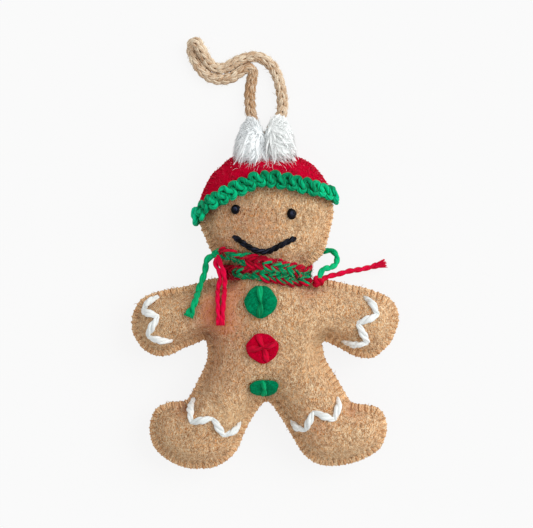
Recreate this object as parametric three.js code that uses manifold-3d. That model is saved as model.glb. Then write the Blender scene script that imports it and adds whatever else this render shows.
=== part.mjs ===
// A stuffed felt gingerbread man ornament, lying on its back, in millimetres.
// +Z points up out of its belly, +Y towards its head, and the surface it lies on is z = 0.
import * as THREE from 'three';
import { mergeVertices } from 'three/addons/utils/BufferGeometryUtils.js';
import Module from 'manifold-3d';

const wasm = await Module();
wasm.setup();

// Whole figure.
const figure_height = 127.6; // soles to crown
const arm_span = 107.4;
const gap = 0.3; // clearance between pieces that touch
const felt_thickness = 1.3;
const seam_height = 11; // the seam's height over the surface
const front_swell = 15; // rise of the front felt over the seam, at its fullest
const back_swell = 12; // the same below the seam, before the surface flattens it
const seam_thread = 0.7;
const fork_reach = 18; // how far up the belly the seam between the legs draws the felt in
const fork_draw_share = 0.5;
const thread_width = 1.1;
const seam_clearance = 0.55; // from the seam thread to the felt's cut edge

// Hat.
const trim_width = 6.2;
const trim_thickness = 2.6;
const tuft_width = 14.2;
const tuft_length = 21;
const tuft_depth = 14;
const tuft_stitch_length = 3.4;
const tuft_stitch_width = 1.6;

// Face.
const eye_width = 3.6;
const eye_height = 4.2;
const eye_depth = 2.4;
const mouth_width = 2.2;
const mouth_thickness = 1.5;

// Scarf.
const scarf_width = 5.2;
const scarf_thickness = 2.3;
const scarf_knot = 4.6;
const tail_thickness = 1.9;

// Buttons and icing.
const button_diameter = 12.4;
const bottom_button_diameter = 11.4;
const button_thickness = 1.4;
const button_yarn = 1.2;
const icing_width = 3;
const icing_thickness = 1.8;

// Hanging loop.
const loop_diameter = 3.8;
const loop_knot = 9.2;
const loop_knot_height = 6.6;
const anchor_thread = 1.2;

// Detail of the meshes.
const pattern_pitch = 3.6; // grid of the felt panels
const membrane_pitch = 3;
const pillow_power = 0.42; // 0.5 gives round edges, less gives fuller ones

// Tables of places: x in half arm spans from the middle, y in figure heights from the soles.
const figure_shares = [
  [0.014, 0.206], [0.058, 0.198], [0.096, 0.177], [0.153, 0.137], [0.193, 0.106],
  [0.266, 0.055], [0.315, 0.034], [0.372, 0.018], [0.445, 0.01], [0.518, 0.009],
  [0.599, 0.013], [0.689, 0.023], [0.753, 0.034], [0.81, 0.048], [0.859, 0.065],
  [0.891, 0.092], [0.911, 0.13], [0.899, 0.16], [0.875, 0.181], [0.826, 0.197], [0.762, 0.203],
  [0.689, 0.206], [0.643, 0.212], [0.591, 0.246], [0.526, 0.294], [0.453, 0.345],
  [0.426, 0.369], [0.423, 0.386], [0.442, 0.393], [0.483, 0.392], [0.543, 0.383],
  [0.607, 0.365], [0.672, 0.352], [0.745, 0.346], [0.818, 0.35], [0.875, 0.369],
  [0.932, 0.393], [0.968, 0.423], [1, 0.471], [0.989, 0.499], [0.956, 0.526], [0.899, 0.545],
  [0.818, 0.56], [0.721, 0.572], [0.624, 0.58], [0.477, 0.594], [0.364, 0.595], [0.315, 0.6],
  [0.297, 0.615], [0.308, 0.629], [0.347, 0.639], [0.396, 0.656], [0.437, 0.676], [0.461, 0.704],
  [0.477, 0.731],
  [0.493, 0.758], [0.507, 0.785], [0.513, 0.815], [0.494, 0.853], [0.461, 0.879], [0.428, 0.9],
  [0.389, 0.922], [0.342, 0.943], [0.284, 0.959], [0.222, 0.971], [0.107, 0.984],
  [-0.001, 0.987], [-0.108, 0.984], [-0.216, 0.972], [-0.322, 0.937], [-0.369, 0.921],
  [-0.406, 0.896], [-0.437, 0.87], [-0.46, 0.844], [-0.482, 0.812], [-0.491, 0.787],
  [-0.487, 0.759], [-0.448, 0.724], [-0.433, 0.704], [-0.407, 0.683], [-0.383, 0.659],
  [-0.34, 0.644], [-0.295, 0.633], [-0.284, 0.619],
  [-0.303, 0.606], [-0.359, 0.601], [-0.4, 0.599], [-0.513, 0.584],
  [-0.594, 0.575], [-0.692, 0.568], [-0.773, 0.561], [-0.838, 0.553], [-0.895, 0.543],
  [-0.943, 0.526], [-0.975, 0.502], [-0.996, 0.478], [-1, 0.454], [-0.989, 0.427],
  [-0.96, 0.403], [-0.919, 0.379], [-0.862, 0.362], [-0.797, 0.353], [-0.732, 0.354],
  [-0.675, 0.362], [-0.61, 0.377], [-0.546, 0.387], [-0.488, 0.395], [-0.448, 0.395],
  [-0.432, 0.376], [-0.435, 0.348], [-0.456, 0.321], [-0.521, 0.266], [-0.554, 0.239],
  [-0.586, 0.22], [-0.642, 0.214], [-0.708, 0.212], [-0.773, 0.203], [-0.821, 0.188],
  [-0.849, 0.164], [-0.865, 0.133], [-0.858, 0.102], [-0.838, 0.075], [-0.789, 0.048],
  [-0.724, 0.027], [-0.642, 0.01], [-0.561, 0.001], [-0.481, 0], [-0.4, 0.003],
  [-0.334, 0.013], [-0.269, 0.031], [-0.221, 0.051], [-0.188, 0.075], [-0.156, 0.109],
  [-0.123, 0.143], [-0.091, 0.167], [-0.055, 0.19], [-0.023, 0.202],
];
// The hat's outline over the crown, right to left, and its lower edge, left to right.
const crown_shares = [
  [0.508, 0.845], [0.509, 0.859], [0.481, 0.884], [0.453, 0.905], [0.412, 0.929],
  [0.364, 0.953], [0.299, 0.97], [0.234, 0.982], [0.111, 0.995], [-0.001, 1], [-0.113, 0.995],
  [-0.229, 0.983], [-0.286, 0.969], [-0.342, 0.946], [-0.391, 0.929], [-0.432, 0.902],
  [-0.464, 0.874], [-0.488, 0.847], [-0.504, 0.818], [-0.511, 0.79], [-0.505, 0.772],
];
const brow_shares = [
  [-0.426, 0.789], [-0.366, 0.809], [-0.307, 0.821], [-0.217, 0.842], [-0.143, 0.857],
  [-0.083, 0.872], [-0.009, 0.878], [0.073, 0.878], [0.163, 0.87], [0.245, 0.865],
  [0.327, 0.856], [0.401, 0.845], [0.461, 0.834],
];
const trim_shares = [
  [-0.492, 0.791], [-0.463, 0.793], [-0.422, 0.817], [-0.351, 0.837], [-0.262, 0.861], [-0.18, 0.875],
  [-0.102, 0.891], [-0.02, 0.9], [0.058, 0.901], [0.163, 0.893], [0.248, 0.884],
  [0.338, 0.875], [0.416, 0.862], [0.461, 0.856], [0.49, 0.855],
];
const trim_end_shares = [[-0.511, 0.79], [0.509, 0.855]];
const fork_share = [0.014, 0.206];
const tuft_shares = [[-0.109, 1.022], [0.111, 1.027]];
const eye_shares = [[-0.214, 0.81], [0.194, 0.797]];
const mouth_shares = [
  [-0.234, 0.729], [-0.187, 0.716], [-0.135, 0.7], [-0.068, 0.688], [0.004, 0.684],
  [0.066, 0.691], [0.14, 0.707], [0.222, 0.724],
];
const button_shares = [[-0.03, 0.523], [-0.018, 0.377], [-0.009, 0.257]];
// The scarf's upper run, its run behind the neck, and its lower run.
const neck_shares = [[-0.284, 0.62], [0.297, 0.615]];
const scarf_upper_shares = [
  [-0.299, 0.683], [-0.254, 0.686], [-0.187, 0.673], [-0.098, 0.655], [-0.001, 0.643],
  [0.103, 0.635], [0.193, 0.629], [0.252, 0.624],
];
const scarf_back_shares = [
  [0.2, 0.615], [0.096, 0.615], [-0.016, 0.616], [-0.128, 0.618], [-0.239, 0.619],
];
// The lower run's last place is at a share of the figure's crest.
const scarf_lower_shares = [
  [-0.24, 0.618], [-0.18, 0.616], [-0.068, 0.613], [0.036, 0.606], [0.133, 0.596],
  [0.23, 0.587], [0.345, 0.588, 0.77],
];
// The yarn tails, each with its height as a share of the figure's crest.
const tail_shares = {
  tail_green_left: [
    [-0.425, 0.658, 0.72], [-0.445, 0.62, 0.66], [-0.466, 0.592, 0.7], [-0.493, 0.561, 0.7],
    [-0.515, 0.527, 0.7], [-0.556, 0.486, 0.6],
  ],
  tail_red_left_outer: [
    [-0.372, 0.643, 0.8], [-0.347, 0.608, 0.86], [-0.344, 0.561, 0.8], [-0.356, 0.511, 0.8],
    [-0.364, 0.458, 0.8],
  ],
  tail_red_left_inner: [
    [-0.311, 0.648, 0.85], [-0.299, 0.608, 0.9], [-0.294, 0.561, 0.8], [-0.292, 0.511, 0.8],
    [-0.308, 0.458, 0.8],
  ],
  tail_green_right: [
    [0.428, 0.626, 0.64], [0.477, 0.631, 0.52], [0.52, 0.64, 0.4], [0.537, 0.659, 0.3],
    [0.52, 0.678, 0.24], [0.476, 0.687, 0.2], [0.45, 0.683, 0.2],
  ],
  tail_red_right: [
    [0.47, 0.604, 0.55], [0.545, 0.611, 0.45], [0.62, 0.62, 0.36], [0.729, 0.627, 0.2],
    [0.863, 0.641, 0.05],
  ],
};
const zigzag_shares = {
  icing_hand_left: [[-0.791, 0.544], [-0.914, 0.494], [-0.786, 0.481], [-0.873, 0.417], [-0.685, 0.403]],
  icing_hand_right: [[0.733, 0.542], [0.836, 0.484], [0.678, 0.459], [0.763, 0.396], [0.566, 0.401]],
  icing_foot_left: [[-0.531, 0.227], [-0.551, 0.151], [-0.386, 0.166], [-0.301, 0.109], [-0.181, 0.149]],
  icing_foot_right: [[0.191, 0.153], [0.298, 0.126], [0.355, 0.186], [0.512, 0.159], [0.54, 0.228]],
};
// Where the stuffing is cut: a line's middle and its turn from the x axis, in degrees.
const neck_cut = [0, 0.615, 0];
const hip_cut = [0, 0.209, 0];
const left_shoulder_cut = [-0.47, 0.49, 74];
const right_shoulder_cut = [0.47, 0.49, 106];
const middle_cut = [0, 0.1, 90];
// The loop's route from its knot and back, with its height as a share of the cord's diameter.
const loop_knot_share = [-0.009, 1.034];
const loop_route_shares = [
  [-0.064, 1.066, 0.95], [-0.086, 1.086, 0.75], [-0.103, 1.113, 0.56], [-0.113, 1.144, 0.52],
  [-0.116, 1.175, 0.52], [-0.109, 1.207, 0.52], [-0.096, 1.235, 0.52], [-0.098, 1.257, 0.52],
  [-0.136, 1.262, 0.52], [-0.188, 1.251, 0.52], [-0.256, 1.233, 0.52], [-0.327, 1.227, 0.52],
  [-0.39, 1.23, 0.52], [-0.446, 1.243, 0.52], [-0.497, 1.265, 0.52], [-0.533, 1.292, 0.52],
  [-0.55, 1.318, 0.62], [-0.544, 1.338, 0.95], [-0.519, 1.343, 1.35], [-0.488, 1.325, 1.3],
  [-0.455, 1.299, 0.95], [-0.416, 1.276, 0.6], [-0.365, 1.262, 0.52], [-0.318, 1.262, 0.52],
  [-0.269, 1.27, 0.52], [-0.217, 1.283, 0.52], [-0.158, 1.293, 0.52], [-0.091, 1.299, 0.52],
  [-0.02, 1.293, 0.52], [0.036, 1.276, 0.52], [0.081, 1.249, 0.52], [0.108, 1.216, 0.52],
  [0.123, 1.182, 0.52], [0.131, 1.15, 0.52],
  [0.126, 1.124, 0.54], [0.102, 1.1, 0.65], [0.069, 1.08, 0.85], [0.044, 1.065, 0.95],
];

// Helpers on flat outlines.
function place([x_share, y_share]) {
  return new THREE.Vector2((x_share * arm_span) / 2, y_share * figure_height);
}

function smoothClosed(points, count) {
  const flat = points.map((p) => new THREE.Vector3(p.x, p.y, 0));
  const curve = new THREE.CatmullRomCurve3(flat, true, 'centripetal');
  return curve.getSpacedPoints(count).slice(0, count).map((p) => new THREE.Vector2(p.x, p.y));
}

// Moves a closed outline inwards by one distance, along each point's own normal.
function inset(outline, distance) {
  return outline.map((point, i) => {
    const before = outline[(i + outline.length - 1) % outline.length];
    const after = outline[(i + 1) % outline.length];
    const along = after.clone().sub(before).normalize();
    return new THREE.Vector2(point.x - along.y * distance, point.y + along.x * distance);
  });
}

function nearestOnOutline(outline, x, y) {
  let best = { distance: Infinity, x, y };
  let inside = false;
  for (let i = 0, j = outline.length - 1; i < outline.length; j = i, i += 1) {
    const a = outline[j];
    const b = outline[i];
    const [dx, dy] = [b.x - a.x, b.y - a.y];
    const share = THREE.MathUtils.clamp(((x - a.x) * dx + (y - a.y) * dy) / (dx * dx + dy * dy), 0, 1);
    const [px, py] = [a.x + share * dx, a.y + share * dy];
    const distance = Math.hypot(x - px, y - py);
    if (distance < best.distance) best = { distance, x: px, y: py };
    if ((a.y > y) !== (b.y > y) && x < a.x + ((y - a.y) * dx) / dy) inside = !inside;
  }
  return { ...best, signed: inside ? best.distance : -best.distance };
}

// Grids of one pitch share their lines, so patterns of one pitch meet node on node.
function gridOver(outline, pitch) {
  const box = new THREE.Box2().setFromPoints(outline).expandByScalar(2 * pitch);
  const min = box.min.clone().divideScalar(pitch).floor().multiplyScalar(pitch);
  const columns = Math.ceil((box.max.x - min.x) / pitch) + 1;
  const rows = Math.ceil((box.max.y - min.y) / pitch) + 1;
  const nodes = [];
  for (let j = 0; j < rows; j += 1) {
    for (let i = 0; i < columns; i += 1) {
      const [x, y] = [min.x + i * pitch, min.y + j * pitch];
      nodes.push({ x, y, near: nearestOnOutline(outline, x, y) });
    }
  }
  return { nodes, columns, rows, min };
}

// A soap film blown up over the outline: its Laplacian is -1 inside and it is zero on the edge.
// A root of its height is the section of a stuffed pillow, 1 at the fullest place.
function pillowOver(outline, pitch) {
  const { nodes, columns, rows, min } = gridOver(outline, pitch);
  const film = new Float64Array(nodes.length);
  const beside = [1, -1, columns, -columns];
  for (let sweep = 0; sweep < 260; sweep += 1) {
    nodes.forEach(({ near }, k) => {
      if (near.signed <= 0) return;
      let [sum, weight] = [pitch * pitch, 4];
      for (const step of beside) {
        const other = nodes[k + step].near.signed;
        const share = Math.max(near.signed / (near.signed - Math.min(other, 0)), 0.25);
        if (other > 0) sum += film[k + step];
        else weight += (1 - share) / share;
      }
      film[k] += 1.7 * (sum / weight - film[k]);
    });
  }
  nodes.forEach(({ near }, k) => {
    if (near.signed > 0 || near.signed < -1.5 * pitch) return;
    const inner = beside.filter((step) => nodes[k + step]?.near.signed > 0);
    const slopes = inner.map((step) => film[k + step] / nodes[k + step].near.signed);
    film[k] = near.signed * Math.max(...slopes, 0);
  });
  const fullest = Math.max(...film);
  return (x, y) => {
    const i = THREE.MathUtils.clamp(Math.floor((x - min.x) / pitch), 0, columns - 2);
    const j = THREE.MathUtils.clamp(Math.floor((y - min.y) / pitch), 0, rows - 2);
    const [u, v] = [(x - min.x) / pitch - i, (y - min.y) / pitch - j];
    const k = j * columns + i;
    const low = film[k] * (1 - u) + film[k + 1] * u;
    const high = film[k + columns] * (1 - u) + film[k + columns + 1] * u;
    return (Math.max(low * (1 - v) + high * v, 0) / fullest) ** pillow_power;
  };
}

// A triangle mesh over the outline whose edge points lie on the outline itself.
function patternOver(outline, pitch) {
  const { nodes, columns, rows } = gridOver(outline, pitch);
  const points = nodes.map(({ x, y, near }) => {
    const rim = Math.abs(near.signed) <= 0.5001 * pitch;
    return { x: rim ? near.x : x, y: rim ? near.y : y, rim, kept: rim || near.signed > 0 };
  });
  const faces = [];
  for (let j = 0; j < rows - 1; j += 1) {
    for (let i = 0; i < columns - 1; i += 1) {
      const k = j * columns + i;
      const corners = [k, k + 1, k + columns + 1, k + columns];
      const [a, b, c, d] = corners;
      const span = (p, q) => Math.hypot(points[p].x - points[q].x, points[p].y - points[q].y);
      const turned = !points[a].kept || !points[c].kept
        || (points[b].kept && points[d].kept && span(b, d) < span(a, c));
      faces.push(...(turned ? [[a, b, d], [b, c, d]] : [[a, b, c], [a, c, d]]));
    }
  }
  const inside = faces.filter((face) => {
    if (!face.every((k) => points[k].kept)) return false;
    if (!face.every((k) => points[k].rim)) return true;
    const x = face.reduce((sum, k) => sum + points[k].x / 3, 0);
    const y = face.reduce((sum, k) => sum + points[k].y / 3, 0);
    return nearestOnOutline(outline, x, y).signed > 0.02 * pitch;
  });
  return { points, faces: inside };
}

// Helpers on solids.
function geometryOf(positions, indices) {
  const geometry = new THREE.BufferGeometry();
  geometry.setAttribute('position', new THREE.Float32BufferAttribute(positions, 3));
  geometry.setIndex(indices);
  geometry.computeVertexNormals();
  return geometry;
}

// The closed solid between two height functions over a pattern, each of (x, y, onRim).
function sheetSolid(pattern, low, high) {
  const used = [...new Set(pattern.faces.flat())];
  const order = new Map(used.map((k, n) => [k, n]));
  const positions = [];
  for (const height of [high, low]) {
    for (const k of used) {
      const { x, y, rim } = pattern.points[k];
      positions.push(x, y, height(x, y, rim));
    }
  }
  const indices = [];
  const edges = new Set(pattern.faces.flatMap(([a, b, c]) => [`${a},${b}`, `${b},${c}`, `${c},${a}`]));
  for (const face of pattern.faces) {
    const [a, b, c] = face.map((k) => order.get(k));
    indices.push(a, b, c, a + used.length, c + used.length, b + used.length);
  }
  for (const edge of edges) {
    const [from, to] = edge.split(',').map(Number);
    if (edges.has(`${to},${from}`)) continue;
    const [a, b] = [order.get(from), order.get(to)];
    indices.push(a, a + used.length, b, b, a + used.length, b + used.length);
  }
  return geometryOf(positions, indices);
}

// A band or yarn of oval section swept along points that each carry an outward normal.
// widths and depths are whole sizes, one for each point, and a closed sweep has no end caps.
function sweep(path, widths, depths, sides, closed = false) {
  const positions = [];
  const count = path.length;
  path.forEach(({ point, normal }, i) => {
    const before = path[closed ? (i + count - 1) % count : Math.max(i - 1, 0)].point;
    const after = path[closed ? (i + 1) % count : Math.min(i + 1, count - 1)].point;
    const along = after.clone().sub(before).normalize();
    const across = along.clone().cross(normal).normalize();
    const up = across.clone().cross(along).normalize();
    for (let s = 0; s < sides; s += 1) {
      const angle = (2 * Math.PI * s) / sides;
      const corner = point.clone()
        .addScaledVector(across, (Math.cos(angle) * widths[i]) / 2)
        .addScaledVector(up, (Math.sin(angle) * depths[i]) / 2);
      positions.push(corner.x, corner.y, corner.z);
    }
  });
  const indices = [];
  for (let i = 0; i < (closed ? count : count - 1); i += 1) {
    for (let s = 0; s < sides; s += 1) {
      const [a, b] = [i * sides + s, i * sides + ((s + 1) % sides)];
      const [c, d] = [((i + 1) % count) * sides + s, ((i + 1) % count) * sides + ((s + 1) % sides)];
      indices.push(a, c, b, b, c, d);
    }
  }
  if (!closed) {
    for (let s = 1; s < sides - 1; s += 1) {
      const last = (count - 1) * sides;
      indices.push(0, s, s + 1, last, last + s + 1, last + s);
    }
  }
  return geometryOf(positions, indices);
}

// A round cord along a smooth curve through the given points.
function roundSection(diameter, sides) {
  const corners = Array.from({ length: sides }, (_, s) => {
    const angle = (2 * Math.PI * s) / sides;
    return new THREE.Vector2(Math.cos(angle), Math.sin(angle)).multiplyScalar(diameter / 2);
  });
  return new THREE.Shape(corners);
}

function cord(points, diameter, steps, sides) {
  const extrudePath = new THREE.CatmullRomCurve3(points, false, 'centripetal');
  return new THREE.ExtrudeGeometry(roundSection(diameter, sides), { steps, extrudePath });
}

function solidFrom(geometry) {
  const bare = geometry.clone();
  bare.deleteAttribute('normal');
  bare.deleteAttribute('uv');
  const merged = mergeVertices(bare);
  return new wasm.Manifold(new wasm.Mesh({
    numProp: 3,
    vertProperties: new Float32Array(merged.attributes.position.array),
    triVerts: new Uint32Array(merged.index.array),
  }));
}

function geometryFrom(solid) {
  const { vertProperties, triVerts } = solid.getMesh();
  return geometryOf(vertProperties, Array.from(triVerts));
}

function subtract(geometry, ...cutters) {
  const cut = (left, cutter) => left.subtract(solidFrom(cutter));
  return geometryFrom(cutters.reduce(cut, solidFrom(geometry)));
}

function intersect(geometry, ...keepers) {
  const keep = (left, keeper) => left.intersect(solidFrom(keeper));
  return geometryFrom(keepers.reduce(keep, solidFrom(geometry)));
}

function join(geometries) {
  return geometryFrom(geometries.map(solidFrom).reduce((left, right) => left.add(right)));
}

// The stuffed figure's surfaces.
const silhouette = smoothClosed(figure_shares.map(place), 300);
const felt_outline = inset(silhouette, thread_width + seam_clearance);
const felt_pillow = pillowOver(felt_outline, membrane_pitch);
const crown_outline = smoothClosed([...crown_shares, ...brow_shares].map(place), 160);
const dressed_outline = inset(silhouette, -gap - felt_thickness);
const dressed_pillow = pillowOver(dressed_outline, membrane_pitch);
const crest = seam_height + front_swell;
const scarf_bed = scarf_thickness + 3 * gap;
const trim_bed = trim_thickness + 3 * gap;

function distanceToLine(points, x, y) {
  let best = Infinity;
  for (let i = 1; i < points.length; i += 1) {
    const [a, b] = [points[i - 1], points[i]];
    const [dx, dy] = [b.x - a.x, b.y - a.y];
    const share = THREE.MathUtils.clamp(((x - a.x) * dx + (y - a.y) * dy) / (dx * dx + dy * dy), 0, 1);
    best = Math.min(best, Math.hypot(x - a.x - share * dx, y - a.y - share * dy));
  }
  return best;
}

const neck_line = neck_shares.map(place);
const trim_line = [trim_end_shares[0], ...trim_shares, trim_end_shares[1]].map(place);

// 1 under a band with a grid step to spare, falling to 0 a band's width further out.
function bump(line, width, x, y) {
  const flat = width / 2 + 0.8 * pattern_pitch;
  return 1 - THREE.MathUtils.smoothstep(distanceToLine(line, x, y), flat, flat + width);
}

// The scarf draws the neck in and the seam draws the fork in, so both faces dip there.
function fullness(x, y) {
  const fork = place(fork_share);
  const from_fork = Math.hypot(x - fork.x, y - fork.y);
  const drawn = 1 - THREE.MathUtils.smoothstep(from_fork, 0, fork_reach);
  return (1 - 0.22 * bump(neck_line, scarf_width, x, y)) * (1 - fork_draw_share * drawn);
}

function inHat(x, y) {
  const { signed } = nearestOnOutline(crown_outline, x, y);
  return THREE.MathUtils.smoothstep(signed, -trim_width, 0);
}

// How steeply felt stands on a pillow, as the vertical thickness of one thickness of felt.
function feltRise(pillow, swell, x, y, rim) {
  if (rim) return felt_thickness;
  const step = 0.4 * felt_thickness;
  const slope_x = (swell * (pillow(x + step, y) - pillow(x - step, y))) / (2 * step);
  const slope_y = (swell * (pillow(x, y + step) - pillow(x, y - step))) / (2 * step);
  return felt_thickness * Math.min(Math.hypot(1, slope_x, slope_y), 1.8);
}

function frontInside(x, y, rim) {
  const rise = rim ? 0 : felt_pillow(x, y) * fullness(x, y);
  return seam_height + gap / 2 + front_swell * rise;
}

function frontOutside(x, y, rim) {
  return frontInside(x, y, rim) + feltRise(felt_pillow, front_swell, x, y, rim);
}

// What lies between the back felt and the surface: nothing, the scarf, or the hat and its trim.
function bedHeight(x, y) {
  const hat = inHat(x, y) * (felt_thickness + 3 * gap + trim_bed * bump(trim_line, trim_width, x, y));
  return Math.max(hat, scarf_bed * bump(neck_line, scarf_width, x, y));
}

function backOutside(x, y, rim) {
  const fall = rim ? 0 : back_swell * felt_pillow(x, y) * fullness(x, y);
  const felt = feltRise(felt_pillow, back_swell, x, y, rim);
  return Math.max(seam_height - gap / 2 - fall - felt, bedHeight(x, y));
}

function backInside(x, y, rim) {
  const fall = rim ? 0 : back_swell * felt_pillow(x, y) * fullness(x, y);
  const flat = bedHeight(x, y) + felt_thickness;
  return Math.max(seam_height - gap / 2 - fall, flat);
}

// The hat stands one felt and two clearances off the head, and closes on the seam at its edge.
function hatStand(x, y) {
  const { signed } = nearestOnOutline(dressed_outline, x, y);
  const stand = felt_thickness + 3 * gap;
  return stand * THREE.MathUtils.clamp(signed / stand, 0, 1);
}

function hatFrontInside(x, y) {
  return seam_height + gap / 2 + front_swell * dressed_pillow(x, y) + hatStand(x, y);
}

function hatFrontOutside(x, y) {
  return hatFrontInside(x, y) + feltRise(dressed_pillow, front_swell, x, y, hatStand(x, y) === 0);
}

function hatBackOutside(x, y) {
  const fall = back_swell * dressed_pillow(x, y) + hatStand(x, y);
  const felt = feltRise(dressed_pillow, back_swell, x, y, hatStand(x, y) === 0);
  return Math.max(seam_height - gap / 2 - fall - felt, trim_bed * bump(trim_line, trim_width, x, y));
}

function hatBackInside(x, y) {
  const fall = back_swell * dressed_pillow(x, y) + hatStand(x, y);
  const flat = trim_bed * bump(trim_line, trim_width, x, y) + felt_thickness;
  return Math.max(seam_height - gap / 2 - fall, flat);
}

// A point on a height function, lifted off it along the surface's own normal.
function onSurface(height, x, y, lift, side = 1) {
  const step = felt_thickness / 2;
  const normal = new THREE.Vector3(
    (height(x - step, y) - height(x + step, y)) / (2 * step),
    (height(x, y - step) - height(x, y + step)) / (2 * step),
    1,
  ).normalize().multiplyScalar(side);
  return { point: new THREE.Vector3(x, y, height(x, y)).addScaledVector(normal, lift), normal };
}

// A point beside the seam, lifted straight out from the outline.
function besideSeam(outline, at, lift) {
  const near = nearestOnOutline(outline, at.x, at.y);
  const [x, y] = [near.x, near.y];
  const step = felt_thickness;
  const normal = new THREE.Vector3(
    nearestOnOutline(outline, x - step, y).signed - nearestOnOutline(outline, x + step, y).signed,
    nearestOnOutline(outline, x, y - step).signed - nearestOnOutline(outline, x, y + step).signed,
    0,
  ).normalize();
  return { point: new THREE.Vector3(x, y, seam_height).addScaledVector(normal, lift), normal };
}

// Spreads points evenly along a path of {point, normal}, both read off smooth curves.
function evenly(path, count, closed = false) {
  const line = new THREE.CatmullRomCurve3(path.map(({ point }) => point), closed, 'centripetal');
  const normals = new THREE.CatmullRomCurve3(path.map(({ normal }) => normal), closed, 'centripetal');
  const steps = closed ? count : count - 1;
  return Array.from({ length: count }, (_, i) => {
    const at = line.getUtoTmapping(i / steps);
    return { point: line.getPoint(at), normal: normals.getPoint(at).normalize() };
  });
}

function finish(colour, roughness, metalness = 0) {
  return new THREE.MeshStandardMaterial({ color: colour, roughness, metalness });
}

// One finish for each felt, yarn and thread.
const looks = {
  tan_felt: finish('#c8996a', 0.95),
  tan_thread: finish('#b98a5c', 0.9),
  red_felt: finish('#c4001f', 0.95),
  green_felt: finish('#008a55', 0.95),
  green_yarn: finish('#009a5e', 0.85),
  red_yarn: finish('#cf0828', 0.85),
  scarf_yarn: finish('#a8202c', 0.85),
  black_yarn: finish('#10131c', 0.6),
  white_yarn: finish('#eef2f2', 0.85),
  white_tuft: finish('#eef3f3', 0.95),
  loop_yarn: finish('#c9a777', 0.9),
  fibre: finish('#f2efe6', 1),
};

const figure = new THREE.Group();

function add(name, geometry, material) {
  const mesh = new THREE.Mesh(geometry, material);
  mesh.name = name;
  figure.add(mesh);
  return mesh;
}

// Felt panels: two sheets cut to one outline.
const panel_pattern = patternOver(felt_outline, pattern_pitch);
const felt_front = sheetSolid(panel_pattern, frontInside, frontOutside);
const felt_back = sheetSolid(panel_pattern, backOutside, backInside);
add('felt_front', felt_front, looks.tan_felt);
add('felt_back', felt_back, looks.tan_felt);

// Seam thread: the whip stitch that closes the panels, as one bead round their edges.
function seamThread() {
  const line = inset(silhouette, thread_width / 2);
  const path = line.filter((_, i) => i % 3 === 0).map(({ x, y }) => ({
    point: new THREE.Vector3(x, y, seam_height),
    normal: new THREE.Vector3(0, 0, 1),
  }));
  const size = (value) => path.map(() => value);
  return sweep(path, size(thread_width), size(2 * felt_thickness + seam_thread), 6, true);
}
add('seam_thread', seamThread(), looks.tan_thread);

// Stuffing: fibre packed into the torso, head, arms and legs.
function stuffingWhole() {
  const outline = inset(felt_outline, felt_thickness + gap);
  const clearance = 2 * gap;
  const low = (x, y, rim) => (rim ? seam_height - gap
    : backInside(x, y) + (clearance * feltRise(felt_pillow, back_swell, x, y)) / felt_thickness);
  const high = (x, y, rim) => (rim ? seam_height + gap
    : frontInside(x, y) - (clearance * feltRise(felt_pillow, front_swell, x, y)) / felt_thickness);
  return sheetSolid(patternOver(outline, pattern_pitch), low, high);
}

// Everything on one side of a cut, half a clearance away from it.
function halfSpace([x_share, y_share, degrees], side) {
  const at = place([x_share, y_share]);
  const reach = 2 * figure_height;
  const box = new THREE.BoxGeometry(reach, reach, reach);
  box.translate(0, (side * (reach + gap)) / 2, 0);
  box.rotateZ(THREE.MathUtils.degToRad(degrees));
  return box.translate(at.x, at.y, 0);
}

const stuffing = stuffingWhole();
const [above_neck, below_neck] = [1, -1].map((side) => halfSpace(neck_cut, side));
const [above_hips, below_hips] = [1, -1].map((side) => halfSpace(hip_cut, side));
const [beyond_left, within_left] = [1, -1].map((side) => halfSpace(left_shoulder_cut, side));
const [within_right, beyond_right] = [1, -1].map((side) => halfSpace(right_shoulder_cut, side));
const [left_half, right_half] = [1, -1].map((side) => halfSpace(middle_cut, side));
add('stuffing_head', intersect(stuffing, above_neck), looks.fibre);
add('stuffing_torso', intersect(stuffing, below_neck, above_hips, within_left, within_right), looks.fibre);
add('stuffing_arm_left', intersect(stuffing, below_neck, above_hips, beyond_left), looks.fibre);
add('stuffing_arm_right', intersect(stuffing, below_neck, above_hips, beyond_right), looks.fibre);
add('stuffing_leg_left', intersect(stuffing, below_hips, left_half), looks.fibre);
add('stuffing_leg_right', intersect(stuffing, below_hips, right_half), looks.fibre);

// Hat: a front and a back felt that close over the crown.
const hat_pattern = patternOver(crown_outline, pattern_pitch);
const hat_front = sheetSolid(hat_pattern, hatFrontInside, hatFrontOutside);
add('hat_front', hat_front, looks.red_felt);
add('hat_back', sheetSolid(hat_pattern, hatBackOutside, hatBackInside), looks.red_felt);

// Hat trim: one crocheted band right round the hat's lower edge.
function hatTrim() {
  const lift = 2 * gap + trim_thickness / 2;
  const middle = trim_shares.map(place);
  const sides = trim_end_shares.map((share) => besideSeam(dressed_outline, place(share), lift));
  const [left_end, right_end] = sides;
  const front = middle.map(({ x, y }) => onSurface(hatFrontOutside, x, y, lift));
  const back = [...middle].reverse().map(({ x, y }) => onSurface(hatBackOutside, x, y, lift, -1));
  const path = evenly([left_end, ...front, right_end, ...back], 52, true);
  return sweep(path, path.map(() => trim_width), path.map(() => trim_thickness), 8, true);
}
add('hat_trim', hatTrim(), looks.green_yarn);

// Tufts: two white pompoms side by side on the crown, and the stitch between them.
const crown_top = place([0, 1]).y;
const knot_at = place(loop_knot_share);
const hatTop = (x, y) => topOf(hat_front, x, y);
const stitch_at = onSurface(hatTop, 0, crown_top - tuft_stitch_length, gap + tuft_stitch_width / 2);

// The height of a piece's upper face over a place.
function topOf(geometry, x, y) {
  const over = new THREE.Vector3(x, y, 2 * crest);
  const ray = new THREE.Raycaster(over, new THREE.Vector3(0, 0, -1));
  return ray.intersectObject(new THREE.Mesh(geometry))[0].point.z;
}

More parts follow.
